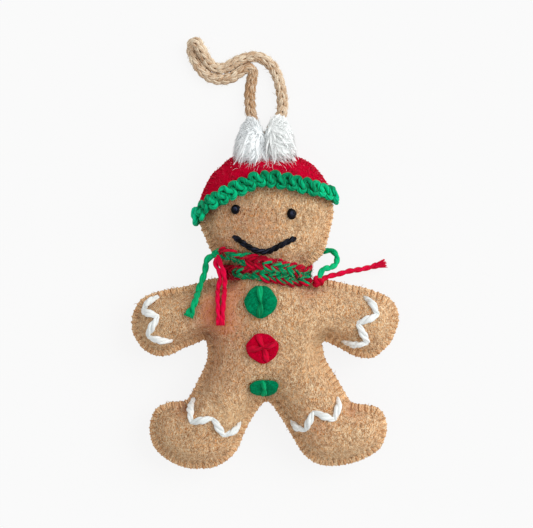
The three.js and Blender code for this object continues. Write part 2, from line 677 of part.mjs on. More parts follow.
// A ball scaled to three sizes, with its third size along the given normal.
function ball(width, height, depth, { point, normal }, sectors = 12, rings = 8) {
  const sphere = new THREE.SphereGeometry(0.5, sectors, rings).scale(width, height, depth);
  sphere.applyQuaternion(new THREE.Quaternion().setFromUnitVectors(new THREE.Vector3(0, 0, 1), normal));
  return sphere.translate(point.x, point.y, point.z);
}

// The thread that holds the loop's knot to the crown's seam, between the tufts.
function anchorStitch(thickness) {
  const near = nearestOnOutline(crown_outline, 0, knot_at.y);
  const seat = new THREE.Vector3(near.x, near.y + gap + anchor_thread / 2, seam_height);
  const over_knot = loop_knot_height + 2 * gap + anchor_thread / 2;
  const knot_top = new THREE.Vector3(near.x, near.y + loop_knot / 4, over_knot);
  return cord([seat, seat.clone().lerp(knot_top, 0.5), knot_top], thickness, 6, 6);
}

function tuft(share, side) {
  const at = place(share);
  const height = loop_knot_height + 2 * gap + tuft_depth / 2;
  const whole = ball(tuft_width, tuft_length, tuft_depth, {
    point: new THREE.Vector3(at.x, at.y, height),
    normal: new THREE.Vector3(0, 0, 1),
  }, 16, 10);
  const clear = 2 * gap;
  const hat_block = sheetSolid(hat_pattern, () => -gap, hatFrontOutside);
  const room = tuft_stitch_width + clear;
  const stitch_room = ball(tuft_stitch_length + clear, room, room, stitch_at);
  const cut = subtract(
    whole,
    hat_block.clone().translate(0, clear, clear),
    hat_block.clone().translate(clear, 0, 0),
    hat_block.clone().translate(-clear, 0, 0),
    stitch_room,
    anchorStitch(anchor_thread + 2 * clear),
  );
  return intersect(cut, halfSpace([0, 1, 90], side));
}
add('tuft_left', tuft(tuft_shares[0], 1), looks.white_tuft);
add('tuft_right', tuft(tuft_shares[1], -1), looks.white_tuft);
const stitch = ball(tuft_stitch_length, tuft_stitch_width, tuft_stitch_width, stitch_at);
add('tuft_stitch', stitch, looks.red_yarn);

// Face: two knotted eyes and one couched yarn for the mouth.
function eye(share) {
  const { x, y } = place(share);
  return ball(eye_width, eye_height, eye_depth, onSurface(frontOutside, x, y, gap + eye_depth / 2));
}
add('eye_left', eye(eye_shares[0]), looks.black_yarn);
add('eye_right', eye(eye_shares[1]), looks.black_yarn);

// A yarn laid on the felt through the given places, drawn in at both ends.
function yarnOnFelt(shares, count, sides, width, thickness, lift) {
  const laid = shares.map((share) => {
    const { x, y } = place(share);
    return onSurface(frontOutside, x, y, lift + thickness / 2);
  });
  const path = evenly(laid, count);
  const taper = path.map((_, i) => 0.45 + 0.55 * Math.min(1, Math.min(i, count - 1 - i) / 2));
  return sweep(path, taper.map((share) => share * width), taper.map((share) => share * thickness), sides);
}
add('mouth', yarnOnFelt(mouth_shares, 16, 8, mouth_width, mouth_thickness, 2 * gap), looks.black_yarn);

// Scarf: one crocheted chain, one and a half times round the neck, with a knot at each end.
function scarfPath() {
  const lift = 2 * gap + scarf_thickness / 2;
  const at_sides = lift + 4 * gap;
  const [left, right] = neck_shares.map(place);
  const upper = scarf_upper_shares.map(place).map(({ x, y }, i) => {
    const over = Math.min(1, i / 3) * 0.6 * scarf_thickness;
    return onSurface(frontOutside, x, y, lift + over);
  });
  const back = scarf_back_shares.map(place).map(({ x, y }) => onSurface(backOutside, x, y, lift - gap, -1));
  const lower = scarf_lower_shares.map((share) => {
    const { x, y } = place(share);
    if (share.length === 2) return onSurface(frontOutside, x, y, lift);
    return { point: new THREE.Vector3(x, y, share[2] * crest), normal: new THREE.Vector3(0, 0, 1) };
  });
  return evenly([
    ...upper,
    besideSeam(silhouette, right, at_sides),
    ...back,
    besideSeam(silhouette, left, at_sides),
    ...lower,
  ], 52);
}
const scarf_path = scarfPath();

function scarf() {
  const count = scarf_path.length;
  const taper = scarf_path.map((_, i) => 0.6 + 0.4 * Math.min(1, Math.min(i, count - 1 - i) / 2));
  // It is squeezed narrower where it turns round the sides of the neck.
  const squeeze = scarf_path.map(({ normal }) => 0.7 + 0.3 * Math.abs(normal.z));
  const widths = taper.map((share, i) => share * squeeze[i] * scarf_width);
  return sweep(scarf_path, widths, taper.map((share) => share * scarf_thickness), 8);
}
add('scarf', scarf(), looks.scarf_yarn);

// The knots sit against the scarf's two ends.
function scarfKnot(end, before) {
  const outward = end.point.clone().sub(before.point).normalize();
  const point = end.point.clone().addScaledVector(outward, scarf_knot / 2 + gap);
  return { point, normal: new THREE.Vector3(0, 0, 1) };
}
const left_knot = scarfKnot(scarf_path[0], scarf_path[1]);
const right_knot = scarfKnot(scarf_path.at(-1), scarf_path.at(-2));
add('scarf_knot_left', ball(scarf_knot, scarf_knot, scarf_knot, left_knot), looks.green_yarn);
add('scarf_knot_right', ball(scarf_knot, scarf_knot, scarf_knot, right_knot), looks.red_yarn);

// Yarn tails: the loose ends that leave each knot.
function tail(name, knot) {
  const places = tail_shares[name].map((share) => {
    const { x, y } = place(share);
    return new THREE.Vector3(x, y, share[2] * crest);
  });
  const line = new THREE.CatmullRomCurve3(places, false, 'centripetal');
  const points = line.getPoints(3 * places.length).map(({ x, y, z }) => {
    const over_felt = nearestOnOutline(silhouette, x, y).signed > 0;
    const on_felt = onSurface(frontOutside, x, y, 3 * gap + tail_thickness / 2).point.z;
    return new THREE.Vector3(x, y, over_felt ? Math.max(z, on_felt) : z);
  });
  const outward = points[0].clone().sub(knot.point).normalize();
  const start = knot.point.clone().addScaledVector(outward, scarf_knot / 2 + gap);
  return cord([start, ...points], tail_thickness, 14, 8);
}
add('tail_green_left', tail('tail_green_left', left_knot), looks.green_yarn);
add('tail_red_left_outer', tail('tail_red_left_outer', left_knot), looks.red_yarn);
add('tail_red_left_inner', tail('tail_red_left_inner', left_knot), looks.red_yarn);
add('tail_green_right', tail('tail_green_right', right_knot), looks.green_yarn);
add('tail_red_right', tail('tail_red_right', right_knot), looks.red_yarn);

// Buttons: felt discs that follow the belly, each held by a yarn over its face.
// rings holds [share of the radius, lift off the felt], from the axis round to the axis.
function drapedDisc(share, radius, rings, sectors) {
  const centre = place(share);
  const { point, normal } = onSurface(frontOutside, centre.x, centre.y, 0);
  const across = new THREE.Vector3(1, 0, 0).cross(normal).cross(normal).negate().normalize();
  const along = normal.clone().cross(across);
  const positions = [];
  for (const [ring_share, lift] of rings) {
    for (let s = 0; s < (ring_share === 0 ? 1 : sectors); s += 1) {
      const angle = (2 * Math.PI * s) / sectors;
      const spot = point.clone()
        .addScaledVector(across, radius * ring_share * Math.cos(angle))
        .addScaledVector(along, radius * ring_share * Math.sin(angle));
      const corner = onSurface(frontOutside, spot.x, spot.y, lift).point;
      positions.push(corner.x, corner.y, corner.z);
    }
  }
  const last = positions.length / 3 - 1;
  const indices = [];
  for (let s = 0; s < sectors; s += 1) {
    const next = (s + 1) % sectors;
    indices.push(0, 1 + s, 1 + next, last, last - sectors + next, last - sectors + s);
    for (let ring = 0; ring < rings.length - 3; ring += 1) {
      const [a, b] = [1 + ring * sectors + s, 1 + ring * sectors + next];
      indices.push(a, a + sectors, b, b, a + sectors, b + sectors);
    }
  }
  return geometryOf(positions, indices);
}

function button(share, diameter) {
  const low = 2 * gap;
  const high = low + button_thickness;
  const rings = [[0, high], [0.5, high], [0.88, high], [1, high - 0.3 * button_thickness],
    [1, low + 0.2 * button_thickness], [0.85, low], [0.4, low], [0, low]];
  return drapedDisc(share, diameter / 2, rings, 20);
}

// A yarn over a button's face, through its middle, that turns down at both edges.
function buttonYarn(share, diameter, degrees) {
  const centre = place(share);
  const { point, normal } = onSurface(frontOutside, centre.x, centre.y, 0);
  const turn = THREE.MathUtils.degToRad(degrees);
  const along = new THREE.Vector3(Math.cos(turn), Math.sin(turn), 0);
  along.addScaledVector(normal, -along.dot(normal)).normalize();
  const radius = diameter / 2;
  const high = 4 * gap + button_thickness + button_yarn / 2;
  const low = 2 * gap + button_yarn / 2;
  const past = radius + 2 * gap + button_yarn / 2;
  const profile = [[-past, low], [-past, (high + low) / 2], [-0.9 * radius, high],
    [-0.5 * radius, high], [0, high], [0.5 * radius, high], [0.9 * radius, high],
    [past, (high + low) / 2], [past, low]];
  const path = profile.map(([distance, lift]) => {
    const spot = point.clone().addScaledVector(along, distance);
    return onSurface(frontOutside, spot.x, spot.y, lift);
  });
  return cord(path.map((step) => step.point), button_yarn, 14, 6);
}
add('button_top', button(button_shares[0], button_diameter), looks.green_felt);
add('button_middle', button(button_shares[1], button_diameter), looks.red_felt);
add('button_bottom', button(button_shares[2], bottom_button_diameter), looks.green_felt);
add('button_top_stitch', buttonYarn(button_shares[0], button_diameter, 90), looks.green_yarn);
const crossed = [98, 8].map((degrees) => buttonYarn(button_shares[1], button_diameter, degrees));
add('button_middle_stitch', join(crossed), looks.red_yarn);
add('button_bottom_stitch', buttonYarn(button_shares[2], bottom_button_diameter, 90), looks.green_yarn);

// Icing: a white yarn zigzag on each hand and foot, of four long stitches.
function zigzag(shares) {
  const stitches = shares.slice(1).map((share, i) => {
    const [from, to] = [shares[i], share];
    const laid = [0, 0.25, 0.5, 0.75, 1].map((t) => from.map((value, k) => value + t * (to[k] - value)));
    return yarnOnFelt(laid, 7, 6, icing_width, icing_thickness, 2 * gap);
  });
  return join(stitches);
}
for (const [name, shares] of Object.entries(zigzag_shares)) {
  add(name, zigzag(shares), looks.white_yarn);
}

// Hanging loop: one crocheted cord whose ends meet in a knot behind the tufts.
function loopKnot() {
  const profile = [[0, -1], [0.55, -0.96], [0.88, -0.6], [1, 0], [0.88, 0.6], [0.55, 0.96], [0, 1]];
  const scale = new THREE.Vector2(loop_knot, loop_knot_height).divideScalar(2);
  const points = profile.map(([r, z]) => new THREE.Vector2(r, z).multiply(scale));
  const knot = new THREE.LatheGeometry(points, 20).rotateX(Math.PI / 2);
  return knot.translate(knot_at.x, knot_at.y, loop_knot_height / 2 + gap);
}

function hangingLoop() {
  const points = loop_route_shares.map((share) => {
    const { x, y } = place(share);
    return new THREE.Vector3(x, y, share[2] * loop_diameter);
  });
  return cord(points, loop_diameter, 68, 8);
}

add('loop_knot', loopKnot(), looks.loop_yarn);
add('hanging_loop', hangingLoop(), looks.loop_yarn);
add('loop_anchor', anchorStitch(anchor_thread), looks.red_yarn);

// The origin lies under the middle of the figure, without its loose loop.
const body_box = new THREE.Box3();
for (const piece of figure.children) {
  if (piece.name !== 'hanging_loop') body_box.expandByObject(piece);
}
const middle = body_box.getCenter(new THREE.Vector3());
figure.position.set(-middle.x, -middle.y, -body_box.min.z);

export default figure;
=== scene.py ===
# A stuffed felt gingerbread man ornament with a crocheted hanging loop, lying on its back.
# Sizes are in millimetres, and every mesh becomes metres as it is built.
import itertools
from collections import namedtuple

import bpy
import numpy as np
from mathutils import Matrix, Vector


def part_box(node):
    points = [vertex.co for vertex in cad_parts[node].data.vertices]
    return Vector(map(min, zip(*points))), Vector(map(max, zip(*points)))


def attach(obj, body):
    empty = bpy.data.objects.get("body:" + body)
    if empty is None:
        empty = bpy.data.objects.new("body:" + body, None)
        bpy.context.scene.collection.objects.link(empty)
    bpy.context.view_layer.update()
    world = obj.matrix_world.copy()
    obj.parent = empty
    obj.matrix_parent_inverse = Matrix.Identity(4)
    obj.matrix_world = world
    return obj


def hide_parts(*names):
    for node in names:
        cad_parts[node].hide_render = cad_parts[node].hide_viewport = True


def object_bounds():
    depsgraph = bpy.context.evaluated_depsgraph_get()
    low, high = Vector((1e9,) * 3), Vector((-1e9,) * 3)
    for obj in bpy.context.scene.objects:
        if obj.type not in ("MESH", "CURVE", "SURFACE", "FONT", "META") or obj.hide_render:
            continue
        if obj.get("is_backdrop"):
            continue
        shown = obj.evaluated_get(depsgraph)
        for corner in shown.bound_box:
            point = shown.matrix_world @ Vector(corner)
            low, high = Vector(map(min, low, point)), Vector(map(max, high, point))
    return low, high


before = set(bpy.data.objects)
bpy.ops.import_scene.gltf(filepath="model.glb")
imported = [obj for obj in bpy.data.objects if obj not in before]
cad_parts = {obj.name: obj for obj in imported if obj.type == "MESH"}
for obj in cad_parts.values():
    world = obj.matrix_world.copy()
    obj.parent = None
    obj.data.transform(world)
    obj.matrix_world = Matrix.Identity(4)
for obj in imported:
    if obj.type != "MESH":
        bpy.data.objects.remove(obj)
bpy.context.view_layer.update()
MM = 0.001

# Camera: straight over the ornament and far enough off to flatten it, as in the photograph.
CAMERA_LENS = 150
SENSOR = 36
VIEW_WIDTH = 213.2  # of the picture, at the seam's height
VIEW_MIDDLE = (0.54, 11.24)
SEAM_HEIGHT = 11

camera = bpy.data.objects.new("camera", bpy.data.cameras.new("camera"))
camera.data.lens = CAMERA_LENS
camera.data.sensor_width = SENSOR
camera.data.clip_end = 20
camera.location = (*VIEW_MIDDLE, SEAM_HEIGHT + VIEW_WIDTH * CAMERA_LENS / SENSOR)
camera.location *= MM
bpy.context.scene.collection.objects.link(camera)
bpy.context.scene.camera = camera
bpy.context.scene.view_settings.view_transform = "Standard"


# Light: a pale studio, brighter to the camera than to the ornament, and one soft lamp from the
# upper right.
WORLD_LIGHT = 0.6
BACKDROP = 0.955
LAMP_STRENGTH = 1.75
LAMP_ANGLE = 0.9
LAMP_TURN = (-0.3, 0.78, 0.0)


def node_in(tree, kind, inputs=None, **settings):
    """A new node of a tree, its properties set and its inputs given values or links."""
    node = tree.nodes.new(kind)
    for key, value in settings.items():
        setattr(node, key, value)
    for key, value in (inputs or {}).items():
        if isinstance(value, bpy.types.NodeSocket):
            tree.links.new(value, node.inputs[key])
        else:
            node.inputs[key].default_value = value
    return node


def studio():
    """A white world whose brightness differs for the rays that the camera sees it by."""
    world = bpy.data.worlds.new("studio")
    world.use_nodes = True
    tree = world.node_tree
    rays = node_in(tree, "ShaderNodeLightPath")
    strength = node_in(tree, "ShaderNodeMix", {
        0: rays.outputs["Is Camera Ray"], 2: WORLD_LIGHT, 3: BACKDROP,
    })
    background = tree.nodes["Background"]
    background.inputs["Color"].default_value = (1, 1, 1, 1)
    tree.links.new(strength.outputs[0], background.inputs["Strength"])
    bpy.context.scene.world = world


studio()
lamp = bpy.data.objects.new("lamp", bpy.data.lights.new("lamp", "SUN"))
lamp.data.energy = LAMP_STRENGTH
lamp.data.angle = LAMP_ANGLE
lamp.rotation_euler = LAMP_TURN
bpy.context.scene.collection.objects.link(lamp)


# Floor: the plain white surface that the ornament lies on. The camera and reflections see most of
# it as even white, so that the ornament's shadow on it stays faint.
FLOOR_SIZE = 6000
FLOOR_COLOUR = (0.9, 0.9, 0.9)
EVEN_WHITE = 0.9  # the share of the floor that those rays see as even
WHITE_GLOW = 0.965


def build(name, points, faces, material, **attributes):
    """A smooth mesh in metres from points in millimetres, face arrays and point attributes.

    Yarn and fur that would pass through the floor lie flat on it.
    """
    mesh = bpy.data.meshes.new(name)
    corners = np.concatenate([part.ravel() for part in faces])
    sizes = np.concatenate([np.full(len(part), part.shape[1]) for part in faces])
    mesh.vertices.add(len(points))
    above = np.maximum(np.asarray(points, float), [-np.inf, -np.inf, 0])
    mesh.vertices.foreach_set("co", (above * MM).ravel())
    mesh.loops.add(len(corners))
    mesh.loops.foreach_set("vertex_index", corners.astype(np.int32))
    mesh.polygons.add(len(sizes))
    mesh.polygons.foreach_set("loop_start", (np.cumsum(sizes) - sizes).astype(np.int32))
    mesh.polygons.foreach_set("use_smooth", np.ones(len(sizes), bool))
    for key, values in attributes.items():
        flat = values.ndim == 1
        attribute = mesh.attributes.new(key, "FLOAT" if flat else "FLOAT_VECTOR", "POINT")
        attribute.data.foreach_set("value" if flat else "vector", values.astype(np.float32).ravel())
    mesh.update()
    mesh.materials.append(material)
    piece = bpy.data.objects.new(name, mesh)
    bpy.context.scene.collection.objects.link(piece)
    return piece


def blank(name, **values):
    """A new material, its node tree and its shader, with the shader's constant values set."""
    material = bpy.data.materials.new(name)
    material.use_nodes = True
    shader = material.node_tree.nodes["Principled BSDF"]
    for key, value in values.items():
        shader.inputs[key.replace("_", " ")].default_value = value
    return material, material.node_tree, shader


def math_in(tree, operation, *values):
    """The result of a new math node of a tree, from numbers or links."""
    return node_in(tree, "ShaderNodeMath", dict(enumerate(values)), operation=operation).outputs[0]


def floor_paper():
    """White paper: for camera, glossy and transmission rays a share of it is even white."""
    material, tree, shader = blank(
        "floor_paper", Base_Color=(*FLOOR_COLOUR, 1), Roughness=1.0, Specular_IOR_Level=0,
    )
    rays = node_in(tree, "ShaderNodeLightPath").outputs
    seen = math_in(tree, "ADD", rays["Is Camera Ray"], rays["Is Glossy Ray"])
    seen = math_in(tree, "ADD", seen, rays["Is Transmission Ray"])
    share = math_in(tree, "MULTIPLY", seen, EVEN_WHITE)
    white = node_in(tree, "ShaderNodeEmission", {"Strength": WHITE_GLOW}).outputs[0]
    mixed = node_in(tree, "ShaderNodeMixShader", {0: share, 1: shader.outputs[0], 2: white}).outputs[0]
    tree.links.new(mixed, tree.nodes["Material Output"].inputs["Surface"])
    return material


floor_points = FLOOR_SIZE / 2 * np.array([[-1, -1, 0], [1, -1, 0], [1, 1, 0], [-1, 1, 0]])
floor = build("floor", floor_points, [np.array([[0, 1, 2, 3]])], floor_paper())
floor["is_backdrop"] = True


# Felt panels: two sheets of brown wool felt cut to one outline and blown up by their stuffing.
# The stitches draw their edges in, so each face leaves the seam flat and then swells.
figure_low, figure_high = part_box("seam_thread")
MIDDLE_X = (figure_low.x + figure_high.x) / 2 / MM
SOLES_Y = figure_low.y / MM
HALF_SPAN = (figure_high.x - figure_low.x) / 2 / MM
FIGURE_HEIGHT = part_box("hat_front")[1].y / MM - SOLES_Y
FELT = 1.3
GAP = 0.3
FRONT_SWELL = 15
BACK_SWELL = 12
PILLOW_POWER = 0.42
FILM_SWEEPS = 260
OVER_RELAXED = 1.86  # how far each sweep moves a height, as a share of what it is out by
EDGE_REACH = 7.0  # how far in from the seam the stitches hold the felt down
EDGE_SHARE = 0.1
NECK_DRAWN = 0.22
FORK_DRAWN = 0.5
FORK_REACH = 18
STITCH_PITCH = 2.6
STITCH_REACH = 2.4
HOLE_DEPTH = 0.5
PUCKER_DEPTH = 0.3
PUCKER_IN = 1.6  # how far in from the edge the felt bulges most between two stitches
PANEL_INSET = 0.35
PITCH = 0.6
FIGURE_SHARES = [
    [0.012, 0.21], [0.042, 0.203], [0.086, 0.178], [0.148, 0.138], [0.193, 0.106],
    [0.266, 0.055], [0.315, 0.034], [0.372, 0.018], [0.445, 0.01], [0.518, 0.009],
    [0.599, 0.013], [0.689, 0.023], [0.753, 0.034], [0.81, 0.048], [0.859, 0.065],
    [0.891, 0.092], [0.911, 0.13], [0.899, 0.16], [0.875, 0.181], [0.826, 0.197], [0.762, 0.203],
    [0.689, 0.206], [0.643, 0.212], [0.591, 0.246], [0.526, 0.294], [0.453, 0.345],
    [0.436, 0.374], [0.429, 0.395], [0.45, 0.398], [0.488, 0.391], [0.543, 0.38],
    [0.607, 0.365], [0.672, 0.352], [0.745, 0.346], [0.818, 0.35], [0.875, 0.369],
    [0.932, 0.393], [0.968, 0.423], [1, 0.471], [0.989, 0.499], [0.956, 0.526], [0.899, 0.545],
    [0.818, 0.56], [0.721, 0.572], [0.624, 0.58], [0.477, 0.594], [0.364, 0.595], [0.315, 0.6],
    [0.297, 0.615], [0.308, 0.629], [0.347, 0.639], [0.396, 0.656], [0.437, 0.676], [0.461, 0.704],
    [0.477, 0.731],
    [0.493, 0.758], [0.507, 0.785], [0.513, 0.815], [0.494, 0.853], [0.461, 0.879], [0.428, 0.9],
    [0.389, 0.922], [0.342, 0.943], [0.284, 0.959], [0.222, 0.971], [0.107, 0.984],
    [-0.001, 0.987], [-0.108, 0.984], [-0.216, 0.972], [-0.322, 0.937], [-0.369, 0.921],
    [-0.406, 0.896], [-0.437, 0.87], [-0.46, 0.844], [-0.482, 0.812], [-0.491, 0.787],
    [-0.487, 0.759], [-0.448, 0.724], [-0.433, 0.704], [-0.407, 0.683], [-0.383, 0.659],
    [-0.34, 0.644], [-0.295, 0.633], [-0.284, 0.619],
    [-0.303, 0.606], [-0.359, 0.601], [-0.4, 0.599], [-0.513, 0.584],
    [-0.594, 0.575], [-0.692, 0.568], [-0.773, 0.561], [-0.838, 0.553], [-0.895, 0.543],
    [-0.943, 0.526], [-0.975, 0.502], [-0.996, 0.478], [-1, 0.454], [-0.989, 0.427],
    [-0.96, 0.403], [-0.919, 0.379], [-0.862, 0.362], [-0.797, 0.353], [-0.732, 0.354],
    [-0.675, 0.362], [-0.61, 0.377], [-0.546, 0.387], [-0.49, 0.397], [-0.448, 0.403],
    [-0.435, 0.384], [-0.435, 0.348], [-0.456, 0.321], [-0.521, 0.266], [-0.554, 0.239],
    [-0.586, 0.22], [-0.642, 0.214], [-0.708, 0.212], [-0.773, 0.203], [-0.821, 0.188],
    [-0.849, 0.164], [-0.865, 0.133], [-0.858, 0.102], [-0.838, 0.075], [-0.789, 0.048],
    [-0.724, 0.027], [-0.642, 0.01], [-0.561, 0.001], [-0.481, 0], [-0.4, 0.003],
    [-0.334, 0.013], [-0.269, 0.031], [-0.221, 0.051], [-0.188, 0.075], [-0.156, 0.109],
    [-0.117, 0.143], [-0.083, 0.167], [-0.043, 0.191], [-0.015, 0.205],
]
CROWN_SHARES = [
    [0.508, 0.845], [0.509, 0.859], [0.481, 0.884], [0.453, 0.905], [0.412, 0.929],
    [0.364, 0.953], [0.299, 0.97], [0.234, 0.982], [0.111, 0.995], [-0.001, 1], [-0.113, 0.995],
    [-0.229, 0.983], [-0.286, 0.969], [-0.342, 0.946], [-0.391, 0.929], [-0.432, 0.902],
    [-0.464, 0.874], [-0.488, 0.847], [-0.504, 0.818], [-0.511, 0.79], [-0.505, 0.772],
    [-0.426, 0.789], [-0.366, 0.809], [-0.307, 0.821], [-0.217, 0.842], [-0.143, 0.857],
    [-0.083, 0.872], [-0.009, 0.878], [0.073, 0.878], [0.163, 0.87], [0.245, 0.865],
    [0.327, 0.856], [0.401, 0.845], [0.461, 0.834],
]
TRIM_SHARES = [
    [-0.492, 0.791], [-0.463, 0.793], [-0.422, 0.817], [-0.351, 0.837], [-0.262, 0.861],
    [-0.18, 0.875], [-0.102, 0.891], [-0.02, 0.9], [0.058, 0.901], [0.163, 0.893], [0.248, 0.884],
    [0.338, 0.875], [0.416, 0.862], [0.461, 0.856], [0.49, 0.855],
]
NECK_SHARES = [[-0.284, 0.62], [0.297, 0.615]]
FORK_SHARE = [0.014, 0.206]
TRIM_BED = 3.5
TRIM_WIDTH = 6.2
SCARF_BED = 3.2
SCARF_WIDTH = 5.2


def place(shares):
    """Places in millimetres, from x in half arm spans off the middle and y in heights off the soles."""
    shares = np.atleast_2d(np.asarray(shares, float))
    return np.column_stack([MIDDLE_X + shares[:, 0] * HALF_SPAN, SOLES_Y + shares[:, 1] * FIGURE_HEIGHT])


def run_along(line):
    """How far along a line each of its points lies."""
    return np.concatenate([[0], np.cumsum(np.linalg.norm(np.diff(line, axis=0), axis=1))])


def read_along(run, values, want, period=None):
    """Rows of values, known at run along a line, read at any places along it."""
    return np.stack([np.interp(want, run, column, period=period) for column in values.T], -1)


def smooth(points, count, closed=False):
    """Places spread evenly along the centripetal Catmull-Rom curve through the points."""
    points = np.asarray(points, float)
    if closed:
        around = np.vstack([points[-1:], points, points[:2]])
    else:
        around = np.vstack([2 * points[:1] - points[1:2], points, 2 * points[-1:] - points[-2:-1]])
    steps = np.linalg.norm(np.diff(around, axis=0), axis=1) ** 0.5
    knots = np.concatenate([[0], np.cumsum(steps)])
    spans = len(around) - 3
    at = [knots[k:spans + k, None, None] for k in range(4)]
    by = [around[k:spans + k, None] for k in range(4)]
    here = at[1] + (at[2] - at[1]) * np.linspace(0, 1, 24, endpoint=False)[None, :, None]

    def between(left, right, start, end):
        return (left * (end - here) + right * (here - start)) / (end - start)

    first = [between(by[k], by[k + 1], at[k], at[k + 1]) for k in range(3)]
    second = [between(first[k], first[k + 1], at[k], at[k + 2]) for k in range(2)]
    line = between(second[0], second[1], at[1], at[2]).reshape(-1, points.shape[1])
    line = np.vstack([line, points[:1] if closed else points[-1:]])
    run = run_along(line)
    return read_along(run, line, np.linspace(0, run[-1], count, endpoint=not closed))


def inward(outline):
    """The unit normals of a closed anticlockwise outline, towards its inside."""
    along = np.roll(outline, -1, axis=0) - np.roll(outline, 1, axis=0)
    along /= np.linalg.norm(along, axis=1, keepdims=True)
    return np.column_stack([-along[:, 1], along[:, 0]])


def run_of(outline):
    """How far along a closed outline each of its points lies, and its whole length."""
    steps = np.linalg.norm(np.roll(outline, -1, axis=0) - outline, axis=1)
    return np.cumsum(steps) - steps, steps.sum()


ground = np.vstack([place(FIGURE_SHARES), place(CROWN_SHARES)])
GRID_LOW = ground.min(axis=0) - 8 * PITCH
grid_counts = np.ceil((ground.max(axis=0) + 8 * PITCH - GRID_LOW) / PITCH).astype(int) + 1
grid_x, grid_y = np.meshgrid(
    GRID_LOW[0] + PITCH * np.arange(grid_counts[0]), GRID_LOW[1] + PITCH * np.arange(grid_counts[1]),
)
grid = np.stack([grid_x, grid_y], -1)


def nearest(outline):
    """For each node of the grid: its distance inside a fine outline, and the nearest outline point."""
    flat = grid.reshape(-1, 2)
    signed = np.empty(len(flat))
    closest = np.empty(len(flat), int)
    normals = inward(outline)
    for start in range(0, len(flat), 4000):
        part = flat[start:start + 4000]
        gaps = ((part[:, None] - outline[None]) ** 2).sum(axis=2)
        best = gaps.argmin(axis=1)
        off = part - outline[best]
        side = np.where((off * normals[best]).sum(axis=1) >= 0, 1, -1)
        signed[start:start + 4000] = side * np.sqrt(gaps[np.arange(len(part)), best])
        closest[start:start + 4000] = best
    return signed.reshape(grid_x.shape), closest.reshape(grid_x.shape)


def pillow(signed):
    """A soap film's height to a power, 1 at its fullest.

    The film's Laplacian is -1 inside and its height is 0 where signed is 0. A root of it is the
    section of a stuffed pillow.
    """
    inside = signed > 0
    weight = np.zeros_like(signed)
    for axis, step in ((0, 1), (0, -1), (1, 1), (1, -1)):
        other = np.roll(signed, step, axis=axis)
        share = np.clip(signed / np.maximum(signed - np.minimum(other, 0), 1e-9), 0.2, 1)
        weight += np.where(other > 0, 1, 1 / share)
    checks = np.add.outer(np.arange(signed.shape[0]), np.arange(signed.shape[1])) % 2
    turns = [(inside & (checks == turn))[1:-1, 1:-1] for turn in (0, 1)]
    film = np.zeros_like(signed)
    core = film[1:-1, 1:-1]
    for _ in range(FILM_SWEEPS):
        for turn in turns:
            around = film[:-2, 1:-1] + film[2:, 1:-1] + film[1:-1, :-2] + film[1:-1, 2:]
            change = (around + PITCH**2) / weight[1:-1, 1:-1] - core
            core[turn] += OVER_RELAXED * change[turn]
    return (np.maximum(film, 0) / film.max()) ** PILLOW_POWER


def ramp(value, start, end):
    """A smooth step from 0 at start to 1 at end."""
    share = np.clip((value - start) / (end - start), 0, 1)
    return share * share * (3 - 2 * share)


def under_band(line, width):
    """1 under a band that runs along a line, falling smoothly to 0 a band's width beyond it."""
    away = np.full(grid_x.shape, np.inf)
    for start, end in zip(line[:-1], line[1:]):
        step = end - start
        share = np.clip((grid - start) @ step / (step @ step), 0, 1)
        away = np.minimum(away, np.linalg.norm(grid - start - share[..., None] * step, axis=-1))
    flat = width / 2 + 2
    return 1 - ramp(away, flat, flat + width)


def lumps(x, y, size, seed):
    """Smooth unevenness between about -1 and 1, from a dozen waves of one size."""
    random = np.random.default_rng(seed)
    total = 0
    for turn, phase, stretch in random.uniform(0, 1, (12, 3)) * [2 * np.pi, 2 * np.pi, 1]:
        reach = size * (0.7 + 0.8 * stretch)
        total = total + np.sin((x * np.cos(turn) + y * np.sin(turn)) * 2 * np.pi / reach + phase)
    return total / 12**0.5 / 1.6


def sample(grid, x, y):
    """A grid's value at any place, by straight lines between its nodes."""
    column = np.clip((np.asarray(x) - GRID_LOW[0]) / PITCH, 0, grid.shape[1] - 1.001)
    row = np.clip((np.asarray(y) - GRID_LOW[1]) / PITCH, 0, grid.shape[0] - 1.001)
    i, j = column.astype(int), row.astype(int)
    u, v = column - i, row - j
    low = grid[j, i] * (1 - u) + grid[j, i + 1] * u
    high = grid[j + 1, i] * (1 - u) + grid[j + 1, i + 1] * u
    return low * (1 - v) + high * v


